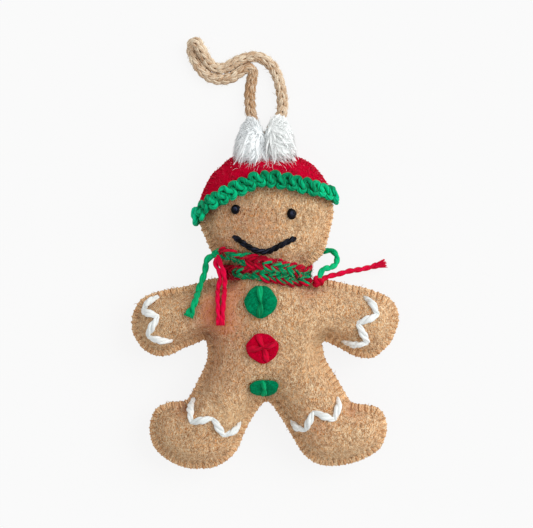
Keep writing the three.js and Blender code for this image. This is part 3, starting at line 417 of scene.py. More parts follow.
def sheet(signed, edge, upper, lower, rims=None, step=1):
    """The closed shell between two height grids inside an outline.

    Nodes within half a step of the outline move onto it, at the two rim heights if they are given.
    """
    signed, edge = signed[::step, ::step], edge[::step, ::step]
    rim = np.abs(signed) <= 0.5 * step * PITCH
    kept = rim | (signed > 0)
    x = np.where(rim, edge[..., 0], grid_x[::step, ::step])
    y = np.where(rim, edge[..., 1], grid_y[::step, ::step])
    order = np.arange(signed.size).reshape(signed.shape)
    corners = np.stack([order[:-1, :-1], order[:-1, 1:], order[1:, 1:], order[1:, :-1]], -1).reshape(-1, 4)
    held = kept.ravel()[corners]
    middle = signed.ravel()[corners].mean(axis=1)
    solid = held.all(axis=1) & (middle > 0)
    triangles = []
    for missing in range(4):
        three = (held.sum(axis=1) == 3) & ~held[:, missing] & (middle > -0.45 * step * PITCH)
        triangles.append(np.delete(corners[three], missing, axis=1))
    quads, threes = corners[solid], np.vstack(triangles)
    used = np.unique(np.concatenate([quads.ravel(), threes.ravel()]))
    fresh = np.full(signed.size, -1)
    fresh[used] = np.arange(len(used))
    quads, threes = fresh[quads], fresh[threes]
    x, y, on_rim = x.ravel()[used], y.ravel()[used], rim.ravel()[used]
    high, low = sample(upper, x, y), sample(lower, x, y)
    if rims:
        high, low = np.where(on_rim, rims[0], high), np.where(on_rim, rims[1], low)
    ways = np.vstack(
        [part[:, [k, (k + 1) % part.shape[1]]] for part in (quads, threes) for k in range(part.shape[1])]
    )
    keys = ways[:, 0] * len(used) + ways[:, 1]
    border = ways[~np.isin(keys, ways[:, 1] * len(used) + ways[:, 0])]
    count = len(used)
    walls = np.column_stack([border[:, 0], border[:, 0] + count, border[:, 1] + count, border[:, 1]])
    points = np.vstack([np.column_stack([x, y, high]), np.column_stack([x, y, low])])
    return points, [quads, threes, quads[:, ::-1] + count, threes[:, ::-1] + count, walls]


silhouette = smooth(place(FIGURE_SHARES), 1600, closed=True)
silhouette_in = inward(silhouette)
silhouette_run, silhouette_length = run_of(silhouette)
inside, closest = nearest(silhouette)
stitch_count = round(silhouette_length / STITCH_PITCH)
stitch_phase = silhouette_run[closest] / silhouette_length * stitch_count
off_stitch = (stitch_phase - np.round(stitch_phase)) * STITCH_PITCH
panel = inside - PANEL_INSET - 0.15 * np.cos(2 * np.pi * stitch_phase)
panel_edge = grid - panel[..., None] * silhouette_in[closest]
crown = smooth(place(CROWN_SHARES), 700, closed=True)
crown_in = inward(crown)
crown_inside, crown_closest = nearest(crown)
neck_line = place(NECK_SHARES)
trim_line = place(TRIM_SHARES)


def swollen(signed):
    """A pillow's height, from 0 to 1, held down near its edge by the stitches."""
    return pillow(signed) * (EDGE_SHARE + (1 - EDGE_SHARE) * ramp(signed, 0, EDGE_REACH))


def puckers(depth, phase, signed, reach):
    """The felt bulges between stitches and is drawn down under them, near the edge only."""
    return -depth * np.cos(2 * np.pi * phase) * np.exp(-((signed - PUCKER_IN) / reach) ** 2)


def face_of(height):
    """A height grid with its slopes."""
    slope_y, slope_x = np.gradient(height, PITCH)
    return height, slope_x, slope_y


def seat(face, places, lift=0.0, side=1):
    """Points over places on a face, lifted along its normals, and those normals."""
    places = np.asarray(places, float)
    height, slope_x, slope_y = (sample(part, places[..., 0], places[..., 1]) for part in face)
    normal = side * np.stack([-slope_x, -slope_y, np.ones_like(height)], -1)
    normal /= np.linalg.norm(normal, axis=-1, keepdims=True)
    lift = np.asarray(lift)[..., None]
    return np.stack([places[..., 0], places[..., 1], height], -1) + lift * normal, normal


seam_top, seam_low = SEAM_HEIGHT + GAP / 2, SEAM_HEIGHT - GAP / 2
under_scarf = under_band(neck_line, SCARF_WIDTH)
trim_bed = TRIM_BED * under_band(trim_line, TRIM_WIDTH)
fork_drawn = FORK_DRAWN * (1 - ramp(np.linalg.norm(grid - place(FORK_SHARE), axis=-1), 0, FORK_REACH))
figure_swell = swollen(panel) * (1 - NECK_DRAWN * under_scarf) * (1 - fork_drawn)
hand_filled = lumps(grid_x, grid_y, 16, 3) * ramp(panel, 1, 9)
# 1 where a whip stitch enters the felt, falling off within half a millimetre.
holes = np.exp(-((panel - STITCH_REACH) / 0.55) ** 2 - (off_stitch / 0.5) ** 2)
stitched = puckers(PUCKER_DEPTH, stitch_phase, panel, 2.2) - HOLE_DEPTH * holes
front = seam_top + FELT + FRONT_SWELL * figure_swell + 0.35 * hand_filled + stitched
back = seam_low - FELT - BACK_SWELL * figure_swell - 0.3 * hand_filled - stitched
# The back felt lies on the scarf, and on the hat and its trim.
hat_bed = ramp(crown_inside, -TRIM_WIDTH, 0) * (FELT + 3 * GAP + trim_bed)
back = np.maximum(back, np.maximum(hat_bed, SCARF_BED * under_scarf))
front_face, back_face = face_of(front), face_of(back)


def noise_in(tree, where, scale, detail, **inputs):
    """The value of a new noise texture of a tree."""
    inputs = {"Vector": where, "Scale": scale, "Detail": detail, **inputs}
    return node_in(tree, "ShaderNodeTexNoise", inputs).outputs["Fac"]


def range_in(tree, value, low, high, to_low=0.0, to_high=1.0):
    """A value whose range from low to high is stretched to another one."""
    return node_in(tree, "ShaderNodeMapRange", {
        "Value": value, "From Min": low, "From Max": high, "To Min": to_low, "To Max": to_high,
    }).outputs[0]


def mix_in(tree, share, first, second):
    """A share of one colour mixed into another: each is red, green and blue, or a link."""
    first, second = (end if isinstance(end, bpy.types.NodeSocket) else (*end, 1) for end in (first, second))
    return node_in(tree, "ShaderNodeMix", {0: share, 6: first, 7: second}, data_type="RGBA").outputs[2]


def ramp_in(tree, value, *stops):
    """A colour ramp with two stops, each a place and its colour."""
    node = node_in(tree, "ShaderNodeValToRGB", {"Fac": value})
    for element, (position, colour) in zip(node.color_ramp.elements, stops):
        element.position = position
        element.color = (*colour, 1)
    return node.outputs[0]


def read_in(tree, name, output="Fac"):
    """A point attribute."""
    return node_in(tree, "ShaderNodeAttribute", attribute_name=name).outputs[output]


def paint(tree, shader, colour, height, strength, distance):
    """Gives a shader its colour and its bumps, whose distance is in metres."""
    bump = node_in(tree, "ShaderNodeBump", {"Strength": strength, "Distance": distance, "Height": height})
    tree.links.new(colour, shader.inputs["Base Color"])
    tree.links.new(bump.outputs[0], shader.inputs["Normal"])


def felt_look(
    name, dark, middle, light, stretch=(1.0, 0.42, 0.8), grain=1150, sheen=0.04, depth=0.4, curl=0.9,
):
    """Felt: matted fibres that curl and cross, lighter where they stand up, and a soft bloom.

    Its point attributes darken and lighten it as painted shade and light, mix it towards a pale tan, partly
    as painted light, and redden it with lint and painted shade.
    """
    material, tree, shader = blank(
        name, Roughness=0.95, Specular_IOR_Level=0.03, Sheen_Weight=sheen, Sheen_Roughness=0.45,
    )
    where = node_in(tree, "ShaderNodeTexCoord").outputs["Object"]
    combed = node_in(tree, "ShaderNodeMapping", {"Vector": where, "Scale": stretch}).outputs[0]
    matted = noise_in(tree, combed, grain, 4, Roughness=0.62, Distortion=1.6)
    curls = []
    for size, bend, shift in ((0.42, 3.6, 0.0), (0.6, 2.8, 0.31)):
        moved = node_in(tree, "ShaderNodeMapping", {"Vector": combed, "Location": (shift, shift, shift)})
        curled = noise_in(tree, moved.outputs[0], size * grain, 1.5, Roughness=0.5, Distortion=bend)
        ridge = math_in(tree, "ABSOLUTE", math_in(tree, "SUBTRACT", curled, 0.5))
        curls.append(range_in(tree, ridge, 0.0, 0.045, 1.0, 0.0))
    strands = math_in(tree, "MAXIMUM", *curls)
    body = ramp_in(tree, matted, (0.36, dark), (0.62, middle))
    stranded = mix_in(tree, math_in(tree, "MULTIPLY", strands, curl), body, light)
    cloud = range_in(tree, noise_in(tree, where, 130, 3), 0.3, 0.7, 0.93, 1.05)
    bright = math_in(tree, "MULTIPLY", cloud, read_in(tree, "shade"))
    toned = node_in(tree, "ShaderNodeVectorMath", {0: stranded, "Scale": bright}, operation="SCALE")
    # The pale tan mix is partly painted light.
    pale = mix_in(tree, read_in(tree, "faded"), toned.outputs[0], PALE_TAN)
    # The lint red is partly painted shade.
    lint = read_in(tree, "lint")
    linty = math_in(tree, "MULTIPLY_ADD", lint, 0.35, math_in(tree, "MULTIPLY", lint, strands))
    height = math_in(tree, "MULTIPLY_ADD", strands, 0.5, matted)
    paint(tree, shader, mix_in(tree, linty, pale, LINT_AND_SHADE_RED), height, depth, 0.0005)
    return material


PALE_TAN = (0.8, 0.58, 0.33)
LINT_AND_SHADE_RED = (0.5, 0.03, 0.02)
tan_felt = felt_look(
    "tan_felt_look", (0.24, 0.062, 0.012), (0.75, 0.355, 0.128), (1.0, 0.845, 0.58), curl=1.0,
)


def show(piece, slot, *nodes, body="ornament"):
    """Attaches a piece to the body it rides on and hides the CAD nodes it stands for. Its finish, slot, is
    not used.
    """
    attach(piece, body)
    if nodes:
        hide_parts(*nodes)


# Patches on the felt: each has its x and y shares, its reach in mm and its amount.
# Red lint from the scarf clings beside the red tails, and with painted shade it makes the felt redder and
# darker down the left side, under the scarf, at the ankles and by the right foot's icing.
LINT_AND_SHADE_PATCHES = [
    (-0.38, 0.5, 8.5, 0.62), (0.32, 0.56, 4.5, 0.35), (-0.31, 0.69, 5.0, 0.35), (-0.3, 0.62, 5.0, 0.6),
    (-0.26, 0.44, 8.0, 0.3), (-0.02, 0.752, 8.0, 0.18), (-0.19, 0.555, 5.5, 0.36), (-0.25, 0.8, 9.0, 0.2),
    (-0.37, 0.33, 12.0, 0.16), (-0.6, 0.2, 4.0, 0.3), (0.66, 0.19, 4.0, 0.3), (0.39, 0.14, 5.0, 0.22),
]
# Paler patches, mixed towards a pale tan: on the right of the head and the belly and on the right hand and
# foot they are painted light from the lamp's side; the others, on the left leg, hand and foot, just make the
# felt paler.
PALE_AND_LIT_PATCHES = [
    (0.37, 0.39, 14.0, 0.34), (-0.25, 0.17, 8.0, 0.4), (0.25, 0.77, 9.0, 0.26), (0.6, 0.06, 10.0, 0.24),
    (-0.86, 0.44, 7.0, 0.3), (-0.62, 0.04, 9.0, 0.2), (0.85, 0.44, 8.0, 0.16),
]
# Painted shade in the outline's inner corners, where the stitches gather the felt: armpits, fork and ankles.
CORNER_SHADE_PATCHES = [
    (-0.43, 0.41, 2.6, 1), (0.42, 0.408, 2.6, 1), (0.012, 0.222, 2.2, 1), (-0.6, 0.204, 1.8, 1),
    (0.655, 0.204, 1.8, 0.8),
]
EDGE_LIGHT_REACH = 2.2  # how far in from the edge the felt is painted lighter and paler, as painted light
PAINTED_LIGHT_REACH = 18  # how far off the middle the painted light towards the right reaches its fullest


def patchy(points, patches):
    """Round patches, each its amount at the middle and a bell curve of its reach around."""
    total = 0
    for x, y, reach, amount in patches:
        off = points[:, :2] - place((x, y))
        total = total + amount * np.exp(-(off**2).sum(axis=1) / reach**2)
    return np.minimum(total, 1)


def felt_panel(name, upper, lower, rims, linted, node):
    """One panel: darker in its holes and folds as painted shade, lighter and paler at its edge and lighter to
    the right as painted light.
    """
    points, faces = sheet(panel, panel_edge, upper, lower, rims)
    # Painted shade: the felt is darker in its stitch holes.
    hole_shade = sample(holes, points[:, 0], points[:, 1])
    # Painted light: the felt is lighter and paler along its edge.
    rim = np.exp(-((sample(panel, points[:, 0], points[:, 1]) / EDGE_LIGHT_REACH) ** 2))
    # Painted light: the felt grows lighter towards the right, on the lamp's side.
    painted_light_right = np.clip((points[:, 0] - MIDDLE_X) / PAINTED_LIGHT_REACH, -1, 1)
    # Painted shade: the felt is darker in the outline's inner corners.
    shade = 1 + 0.2 * rim - 0.45 * hole_shade - 0.4 * patchy(points, CORNER_SHADE_PATCHES) + 0.05 * painted_light_right
    # Lint, with painted shade: the front is redder and darker in patches.
    lint = patchy(points, LINT_AND_SHADE_PATCHES) if linted else np.zeros(len(points))
    # Paler patches, partly painted light, and the paler edge.
    faded = patchy(points, PALE_AND_LIT_PATCHES) + 0.2 * rim
    piece = build(name, points, faces, tan_felt, shade=shade, lint=lint, faded=faded)
    show(piece, "tan_felt", node)


felt_panel("felt_front_visual", front, front - FELT, (seam_top + FELT, seam_top), True, "felt_front")
felt_panel("felt_back_visual", back + FELT, back, (seam_low, seam_low - FELT), False, "felt_back")


# Stuffing: loose white polyester fibre, packed through a gap in the seam before it was closed.
# It fills the felt from inside, so it is one mass here for the CAD's six solids.
STUFFING_INSET = 1.6


def fibre_look():
    """Bright tangled fibre: fine bent noise as colour and height."""
    material, tree, shader = blank("fibre_look", Roughness=1.0, Sheen_Weight=0.2)
    where = node_in(tree, "ShaderNodeTexCoord").outputs["Object"]
    tangle = noise_in(tree, where, 900, 4, Distortion=3.0)
    colour = ramp_in(tree, tangle, (0, (0.62, 0.6, 0.55)), (1, (0.9, 0.88, 0.84)))
    paint(tree, shader, colour, tangle, 0.8, 0.001)
    return material


packed = panel - STUFFING_INSET
packed_edge = grid - packed[..., None] * silhouette_in[closest]
stuffing_points, stuffing_faces = sheet(
    packed, packed_edge, front - FELT - GAP, back + FELT + GAP,
    (SEAM_HEIGHT + GAP, SEAM_HEIGHT - GAP), step=3,
)
stuffing = build("stuffing", stuffing_points, stuffing_faces, fibre_look())
show(
    stuffing, "fibre", "stuffing_head", "stuffing_torso", "stuffing_arm_left", "stuffing_arm_right",
    "stuffing_leg_left", "stuffing_leg_right",
)


# Whip stitches: one tan thread sewn over and over round the felts' edges, which closes the
# ornament. Each stitch goes into the front felt and comes out of the back one.
THREAD_RADIUS = 0.42
STITCH_SLANT = 0.45
STITCH_STATIONS = 19


def skin(order, tips=None):
    """Faces of tubes from order[tube, ring, side]: their walls, and a fan to each of their tips."""
    near, far = order[:, :-1], order[:, 1:]
    walls = np.stack([near, far, np.roll(far, -1, axis=2), np.roll(near, -1, axis=2)], -1).reshape(-1, 4)
    if tips is None:
        return [walls]
    start, end = order[:, 0], order[:, -1]
    fans = (tips[0], start, np.roll(start, -1, axis=1)), (tips[1], np.roll(end, -1, axis=1), end)
    return [walls, *(
        np.stack(np.broadcast_arrays(tip[:, None], *sides), -1).reshape(-1, 3) for tip, *sides in fans
    )]


def tubes(lines, radii, sides=8, closed=False, flat=1.0, up=None):
    """Many round tubes at once, along lines[tube, station, xyz], as points, faces and lay.

    Each tube's section stands on the direction that its own line turns towards least, or on up.
    lay is each point's place in its yarn: its distance along, then across and over.
    """
    lines = np.asarray(lines, float)
    count, stations = lines.shape[:2]
    radii = np.broadcast_to(np.asarray(radii, float), (count, stations))
    if closed:
        along = np.roll(lines, -1, axis=1) - np.roll(lines, 1, axis=1)
    else:
        along = np.gradient(lines, axis=1)
    along /= np.maximum(np.linalg.norm(along, axis=2, keepdims=True), 1e-9)
    if up is None:
        up = np.linalg.eigh(np.einsum("tsi,tsj->tij", along, along))[1][:, None, :, 0]
    across = np.cross(along, up)
    across /= np.maximum(np.linalg.norm(across, axis=2, keepdims=True), 1e-9)
    over = np.cross(across, along)
    turn = 2 * np.pi * np.arange(sides) / sides
    ring = across[:, :, None] * np.cos(turn)[:, None] + flat * over[:, :, None] * np.sin(turn)[:, None]
    points = (lines[:, :, None] + radii[..., None, None] * ring).reshape(-1, 3)
    steps = np.linalg.norm(np.diff(lines, axis=1), axis=2)
    run = np.concatenate([np.zeros((count, 1)), np.cumsum(steps, axis=1)], axis=1)
    lay = np.stack(np.broadcast_arrays(
        run[..., None], radii[..., None] * np.cos(turn), radii[..., None] * np.sin(turn),
    ), -1).reshape(-1, 3)
    order = np.arange(count * stations * sides).reshape(count, stations, sides)
    if closed:
        return points, skin(np.concatenate([order, order[:, :1]], axis=1)), lay
    tips = len(points) + np.arange(2 * count).reshape(2, count)
    first = lines[:, 0] - along[:, 0] * radii[:, :1] * 0.6
    last = lines[:, -1] + along[:, -1] * radii[:, -1:] * 0.6
    points = np.vstack([points, first, last])
    lay = np.vstack([lay, np.zeros((count, 3)), np.column_stack([run[:, -1], np.zeros((count, 2))])])
    return points, skin(order, tips), lay


def per_tube(values, points):
    """A value for each open tube, repeated over the points of its rings and its two tips."""
    return np.concatenate([np.repeat(values, len(points) // len(values) - 2), values, values])


def joined(parts):
    """Several (points, faces, *values) as one."""
    starts = np.cumsum([0] + [len(part[0]) for part in parts])
    faces = [group + start for part, start in zip(parts, starts) for group in part[1]]
    rest = [np.concatenate([part[k] for part in parts]) for k in range(2, len(parts[0]))]
    return np.vstack([part[0] for part in parts]), faces, *rest


def bent(places, count):
    """Many uniform Catmull-Rom curves at once: places[tube, place, xyz] to count stations each."""
    places = np.asarray(places, float)
    around = np.concatenate([
        2 * places[:, :1] - places[:, 1:2], places, 2 * places[:, -1:] - places[:, -2:-1],
    ], axis=1)
    at = np.linspace(0, places.shape[1] - 1, count)
    span = np.minimum(at.astype(int), places.shape[1] - 2)
    t = (at - span)[None, :, None]
    a, b, c, d = (around[:, span + k] for k in range(4))
    return 0.5 * (2 * b + (c - a) * t + (2 * a - 5 * b + 4 * c - d) * t**2 + (3 * b - a - 3 * c + d) * t**3)


def toned(parts, seed):
    """Parts of points, faces and lay, each given one random tone between -1 and 1."""
    tones = np.random.default_rng(seed).uniform(-1, 1, len(parts))
    return [(*part, np.full(len(part[0]), tone)) for part, tone in zip(parts, tones)]


def yarn_look(name, dark, light, fibre=1900, roughness=0.8, sheen=0.06, bump=0.6, twist=0, other=None):
    """Spun yarn: fibres that run along each strand, in two shades, with a tone for each strand.

    A twist, in turns for each metre, winds them round the strand and parts it into two plies. The
    dark and light of another yarn show where the attribute other is 1.
    """
    material, tree, shader = blank(
        name, Roughness=roughness, Specular_IOR_Level=0.1, Sheen_Weight=sheen, Sheen_Roughness=0.4,
    )
    lay = read_in(tree, "lay", "Vector")
    if twist:
        run = node_in(tree, "ShaderNodeSeparateXYZ", {0: lay}).outputs["X"]
        angle = math_in(tree, "MULTIPLY", run, 2 * np.pi * twist)
        turned = {"Vector": lay, "Angle": angle}
        lay = node_in(tree, "ShaderNodeVectorRotate", turned, rotation_type="X_AXIS").outputs[0]
    spun = node_in(tree, "ShaderNodeMapping", {"Vector": lay, "Scale": (0.16, 1, 1)}).outputs[0]
    fibres = noise_in(tree, spun, fibre, 3, Roughness=0.6, Distortion=0.6)
    where = node_in(tree, "ShaderNodeTexCoord").outputs["Object"]
    mixed = math_in(tree, "MULTIPLY_ADD", noise_in(tree, where, 420, 2), 0.45, fibres)
    share = range_in(tree, math_in(tree, "MULTIPLY_ADD", read_in(tree, "tone"), 0.12, mixed), 0.5, 0.95)
    if twist:
        off_groove = node_in(tree, "ShaderNodeSeparateXYZ", {0: lay}).outputs["Y"]
        ply = range_in(tree, math_in(tree, "ABSOLUTE", off_groove), 0.0, 0.0004)
        share = math_in(tree, "MULTIPLY", share, math_in(tree, "MULTIPLY_ADD", ply, 0.7, 0.3))
        fibres = math_in(tree, "MULTIPLY_ADD", ply, 1.5, fibres)
    colour = mix_in(tree, share, dark, light)
    if other:
        colour = mix_in(tree, read_in(tree, "other"), colour, mix_in(tree, share, *other))
    paint(tree, shader, colour, fibres, bump, 0.00025)
    return material


def yarn_piece(name, parts, material, slot, *nodes, body="ornament"):
    """A piece of tubes, from parts of points, faces, lay, tone and, for two yarns, other."""
    points, faces, lay, *tones = joined(parts)
    piece = build(name, points, faces, material, lay=lay * MM, **dict(zip(("tone", "other"), tones)))
    show(piece, slot, *nodes, body=body)
    return piece


def whip_stitches(outline, count, top, low, seam_out, reach):
    """One bent strand for each stitch, from its hole in the front round the edge to the back."""
    run, length = run_of(outline)
    normals = inward(outline)
    at = (np.arange(count) * length / count + np.random.default_rng(5).normal(0, 0.12, count)) % length
    # Its places: how far in from the edge, on which face if on any, and how high over it.
    over = [(reach - 0.1, 1, -0.5), (reach - 0.3, 1, 0.12), (0.55 * reach, 1, 0.36), (0.15 * reach, 1, 0.36)]
    round_edge = [(-seam_out, 0, 0.6), (-seam_out - 0.1, 0, 0.0), (-seam_out, 0, -0.6)]
    under = [(into, -1, lift) for into, _, lift in reversed(over)]
    places = []
    for k, (into, side, lift) in enumerate(over + round_edge + under):
        here = (at + STITCH_SLANT * (k / 5 - 1)) % length
        spot = read_along(run, outline, here, length)
        spot = spot + read_along(run, normals, here, length) * (PANEL_INSET + into)
        if side == 0:
            places.append(np.column_stack([spot, np.full(count, SEAM_HEIGHT + lift)]))
        else:
            places.append(seat(top if side > 0 else low, spot, lift, side)[0])
    return bent(np.stack(places, axis=1), STITCH_STATIONS)


tan_thread = yarn_look("tan_thread_look", (0.5, 0.24, 0.105), (0.9, 0.6, 0.34), fibre=3800)
stitches = whip_stitches(silhouette, stitch_count, front_face, back_face, -0.05, STITCH_REACH)
swelling = THREAD_RADIUS * (0.75 + 0.25 * np.sin(np.pi * np.linspace(0, 1, STITCH_STATIONS)))
thread = tubes(stitches, swelling, 6)
thread_tones = np.random.default_rng(6).uniform(-1, 1, stitch_count)
yarn_piece(
    "whip_stitches", [(*thread, per_tube(thread_tones, thread[0]))], tan_thread, "tan_thread", "seam_thread",
)


# Stray fibres: wool that stands up out of the felt and crosses over itself.
FIBRE_RADIUS = 0.12
FIBRE_COMBED = 0.8  # how far a fibre turns off the way from feet to head


def loose_hairs(base, normal, heading, length, lift, radius, seed):
    """Short three-sided hairs: each leaves its base, runs off in a curl and comes back."""
    random = np.random.default_rng(seed)
    count = len(base)
    length = length * random.uniform(0.5, 1.2, count)
    heading = heading - normal * (heading * normal).sum(axis=1, keepdims=True)
    heading /= np.linalg.norm(heading, axis=1, keepdims=True)
    beside = np.cross(normal, heading)
    curl = random.normal(0, 2.2, count)[:, None, None]
    curl = np.where(np.abs(curl) < 0.2, 0.2, curl)
    t = np.linspace(0, 1, 5)[None, :, None]
    ahead = heading[:, None] * np.sin(curl * t) / curl + beside[:, None] * (1 - np.cos(curl * t)) / curl
    rise = normal[:, None] * np.sin(2.6 * t) * (lift * random.uniform(0.3, 1.6, count))[:, None, None]
    lines = base[:, None] + length[:, None, None] * ahead + rise
    lines[..., 2] = np.maximum(lines[..., 2], radius)
    hairs = tubes(lines, radius * np.array([1, 1, 0.9, 0.75, 0.5]), 3)
    return *hairs, per_tube(random.uniform(-1, 1, count), hairs[0])


def stray(face, places, length, seed, side=1, lift=0.32, radius=FIBRE_RADIUS):
    """Hairs on a face of the felt, most of them combed towards the head."""
    base, normal = seat(face, places, -0.08, side)
    turn = np.pi / 2 + np.random.default_rng(seed + 500).normal(0, FIBRE_COMBED, len(places))
    heading = np.column_stack([np.cos(turn), np.sin(turn), np.zeros(len(places))])
    return loose_hairs(base, normal, heading, length, lift, radius, seed)


def scatter(signed, count, seed, margin=0.4, limit=np.inf):
    """Random places from margin to limit inside an outline, read from its grid of distances."""
    random = np.random.default_rng(seed)
    low = grid[0, 0]
    places = low + random.uniform(0, 1, (12 * count, 2)) * (grid[-1, -1] - low)
    depth = sample(signed, places[:, 0], places[:, 1])
    return places[(depth > margin) & (depth < limit)][:count]


tan_fibre = yarn_look("tan_fibre_look", (0.52, 0.27, 0.12), (1.0, 0.82, 0.55), fibre=1500, bump=0.0)
front_fuzz = scatter(panel, 6600, 11, 1.0)
front_fuzz = front_fuzz[patchy(front_fuzz, LINT_AND_SHADE_PATCHES) < 0.4]
back_fuzz = scatter(panel, 2200, 13)
yarn_piece("felt_fuzz_front", [stray(front_face, front_fuzz, 2.3, 12)], tan_fibre, "tan_felt")
yarn_piece("felt_fuzz_back", [stray(back_face, back_fuzz, 2.2, 14, -1, 0.2)], tan_fibre, "tan_felt")


# Hat: a front and a back of red felt, cut to the crown of the head and whip-stitched together
# over it with red thread. It stands off the head by its own thickness.
HAT_OUTSET = 1.6
HAT_STAND = 2.2
HAT_STITCH_PITCH = 2.7
HAT_STITCH_REACH = 2.0
HAT_PUCKER_DEPTH = 0.16
HAT_EDGE = 0.3  # how far in from the crown's outline the hat is cut
BROW_EDGE = 1.3  # how much further in it is cut over the brow, under the trim
HAT_THREAD_RADIUS = 0.32

dressed = inside + HAT_OUTSET
hat_rise = swollen(dressed)
hat_stand = HAT_STAND * np.clip(dressed / HAT_STAND, 0, 1)
crown_run, crown_length = run_of(crown)
hat_stitch_count = round(crown_length / HAT_STITCH_PITCH)
hat_phase = crown_run[crown_closest] / crown_length * hat_stitch_count
hat_front = seam_top + FELT + FRONT_SWELL * hat_rise + hat_stand
hat_front = hat_front + puckers(HAT_PUCKER_DEPTH, hat_phase, crown_inside, 1.8)
hat_front = hat_front + 0.3 * lumps(grid_x, grid_y, 11, 21) * ramp(crown_inside, 1, 6)
hat_back = np.maximum(seam_low - FELT - BACK_SWELL * hat_rise - hat_stand, trim_bed)
hat_front_face, hat_back_face = face_of(hat_front), face_of(hat_back)
brow = (crown[:, 1] < np.interp(crown[:, 0], trim_line[:, 0], trim_line[:, 1])).astype(float)
brow_share = np.convolve(np.tile(brow, 3), np.full(25, 1 / 25), "same")[len(crown):2 * len(crown)]
hat_cut = crown_inside - HAT_EDGE - 0.06 * np.cos(2 * np.pi * hat_phase)
hat_cut = hat_cut - BROW_EDGE * brow_share[crown_closest]
hat_edge = grid - hat_cut[..., None] * crown_in[crown_closest]
red_felt = felt_look(
    "red_felt_look", (0.4, 0.0, 0.012), (0.57, 0.0, 0.022), (0.76, 0.002, 0.045),
    stretch=(1, 0.5, 0.8), grain=900, sheen=0.0,
)

for side, upper, lower in (("front", hat_front, hat_front - FELT), ("back", hat_back + FELT, hat_back)):
    points, faces = sheet(hat_cut, hat_edge, upper, lower)
    hat = build(f"hat_{side}_visual", points, faces, red_felt, shade=np.ones(len(points)))
    show(hat, "red_felt", f"hat_{side}")

red_thread = yarn_look("red_thread_look", (0.42, 0.0, 0.015), (0.74, 0.01, 0.05), fibre=3800)
red_fibre = yarn_look("red_fibre_look", (0.5, 0.0, 0.02), (0.86, 0.03, 0.09), fibre=1500, bump=0.0, sheen=0.0)
# A lighter, pinker copy of the red fibre, as painted light on the hat's rim at the lamp's side.
pink_fibre = yarn_look(
    "pink_fibre_look", (0.75, 0.01, 0.07), (0.95, 0.22, 0.35), fibre=1500, bump=0.0, sheen=0.0,
)
hat_stitches = whip_stitches(crown, hat_stitch_count, hat_front_face, hat_back_face, -0.1, HAT_STITCH_REACH)
turns = hat_stitches[:, STITCH_STATIONS // 2]  # where each stitch turns round the edge
above_trim = turns[:, 1] > np.interp(turns[:, 0], trim_line[:, 0], trim_line[:, 1]) + 2
hat_thread = tubes(hat_stitches[above_trim], HAT_THREAD_RADIUS, 6)
hat_tones = lumps(hat_thread[0][:, 0], hat_thread[0][:, 1], 5, 22)
yarn_piece("hat_stitches", [(*hat_thread, hat_tones)], red_thread, "red_yarn")
yarn_piece("hat_fuzz", [
    stray(hat_front_face, scatter(hat_cut, 1300, 24, 0.5), 1.7, 25, lift=0.25),
    stray(hat_front_face, scatter(hat_cut, 420, 26, 0.3, 2.0), 1.4, 27, lift=0.5),
    stray(hat_back_face, scatter(hat_cut, 500, 28), 1.6, 29, -1, 0.2),
], red_fibre, "red_felt")
# Painted light: the right rim's fibres, on the lamp's side, are a lighter, pinker copy of the red fibre.
rim_places = scatter(crown_inside - HAT_EDGE, 900, 30, 0.0, 2.6)
rim_places = rim_places[rim_places[:, 0] > MIDDLE_X + 12]
yarn_piece("hat_rim_fuzz", [
    stray(hat_front_face, rim_places, 1.5, 31, lift=0.5, radius=0.08),
], pink_fibre, "red_felt")


# Hat trim: thick green wool crocheted into a band, a bobble up and a bobble down in each stitch,
# sewn right round the hat's lower edge. Each stitch shows as one fat strand bent into an S.
TRIM_END_SHARES = [[-0.511, 0.79], [0.509, 0.855]]
TRIM_LIFT = 1.45
TRIM_PITCH = 4.15
TRIM_STRAND = 1.02
# One stitch's strand: along the band, over it towards the crown, and off it.
TRIM_STITCH = [
    [0.1, 0.9, -0.9], [-0.55, 0.2, -0.7], [-1.5, 0.15, -0.2], [-2.3, 0.9, 0.15], [-2.3, 1.95, 0.4],
    [-1.45, 2.65, 0.55], [-0.4, 2.4, 0.75], [0.1, 1.4, 0.9], [0.6, 0.2, 0.95], [1.4, -0.35, 0.85],
    [2.3, -0.95, 0.6], [2.4, -2.0, 0.45], [1.55, -2.75, 0.35], [0.5, -2.5, 0.2], [-0.1, -1.5, -0.3],
    [-0.1, -0.8, -0.9],
]


Band = namedtuple("Band", "line across off run length")


def band_of(points, normals, count, closed=False):
    """A band's middle line, spread evenly, with its across and off directions and its run."""
    both = smooth(np.hstack([points, 0.01 * normals]), count, closed)
    line, off = both[:, :3], both[:, 3:]
    along = np.roll(line, -1, axis=0) - np.roll(line, 1, axis=0) if closed else np.gradient(line, axis=0)
    along /= np.linalg.norm(along, axis=1, keepdims=True)
    across = np.cross(along, off)
    across /= np.linalg.norm(across, axis=1, keepdims=True)
    run, length = run_of(line)
    return Band(line, across, np.cross(across, along), run, length if closed else run[-1])


def on_band(band, u, v, w):
    """Points at u along a band, v across it and w off it."""
    closed = np.linalg.norm(band.line[0] - band.line[-1]) < 2 * band.run[1]
    line, across, off = (
        read_along(band.run, part, u, band.length if closed else None) for part in band[:3]
    )
    return line + np.asarray(v)[..., None] * across + np.asarray(w)[..., None] * off


def beside(share, out):
    """A point at the seam's height beside a place, out from the figure's outline, and its normal."""
    best = ((silhouette - place(share)) ** 2).sum(axis=1).argmin()
    normal = np.array([*-silhouette_in[best], 0])
    return np.array([*silhouette[best], SEAM_HEIGHT]) + out * normal, normal


def bobbles(band, stitches, shape, seed):
    """Each stitch's strand along a band: its bent shape, with every point a little astray."""
    random = np.random.default_rng(seed)
    shapes = np.array(shape) + random.normal(0, 0.14, (stitches, len(shape), 3))
    shapes[..., :2] *= random.uniform(0.93, 1.05, (stitches, 1, 1))
    middles = (np.arange(stitches) + random.normal(0, 0.03, stitches)) * band.length / stitches
    lines = bent(shapes, 30)
    return on_band(band, middles[:, None] + lines[..., 0], -lines[..., 1], lines[..., 2])


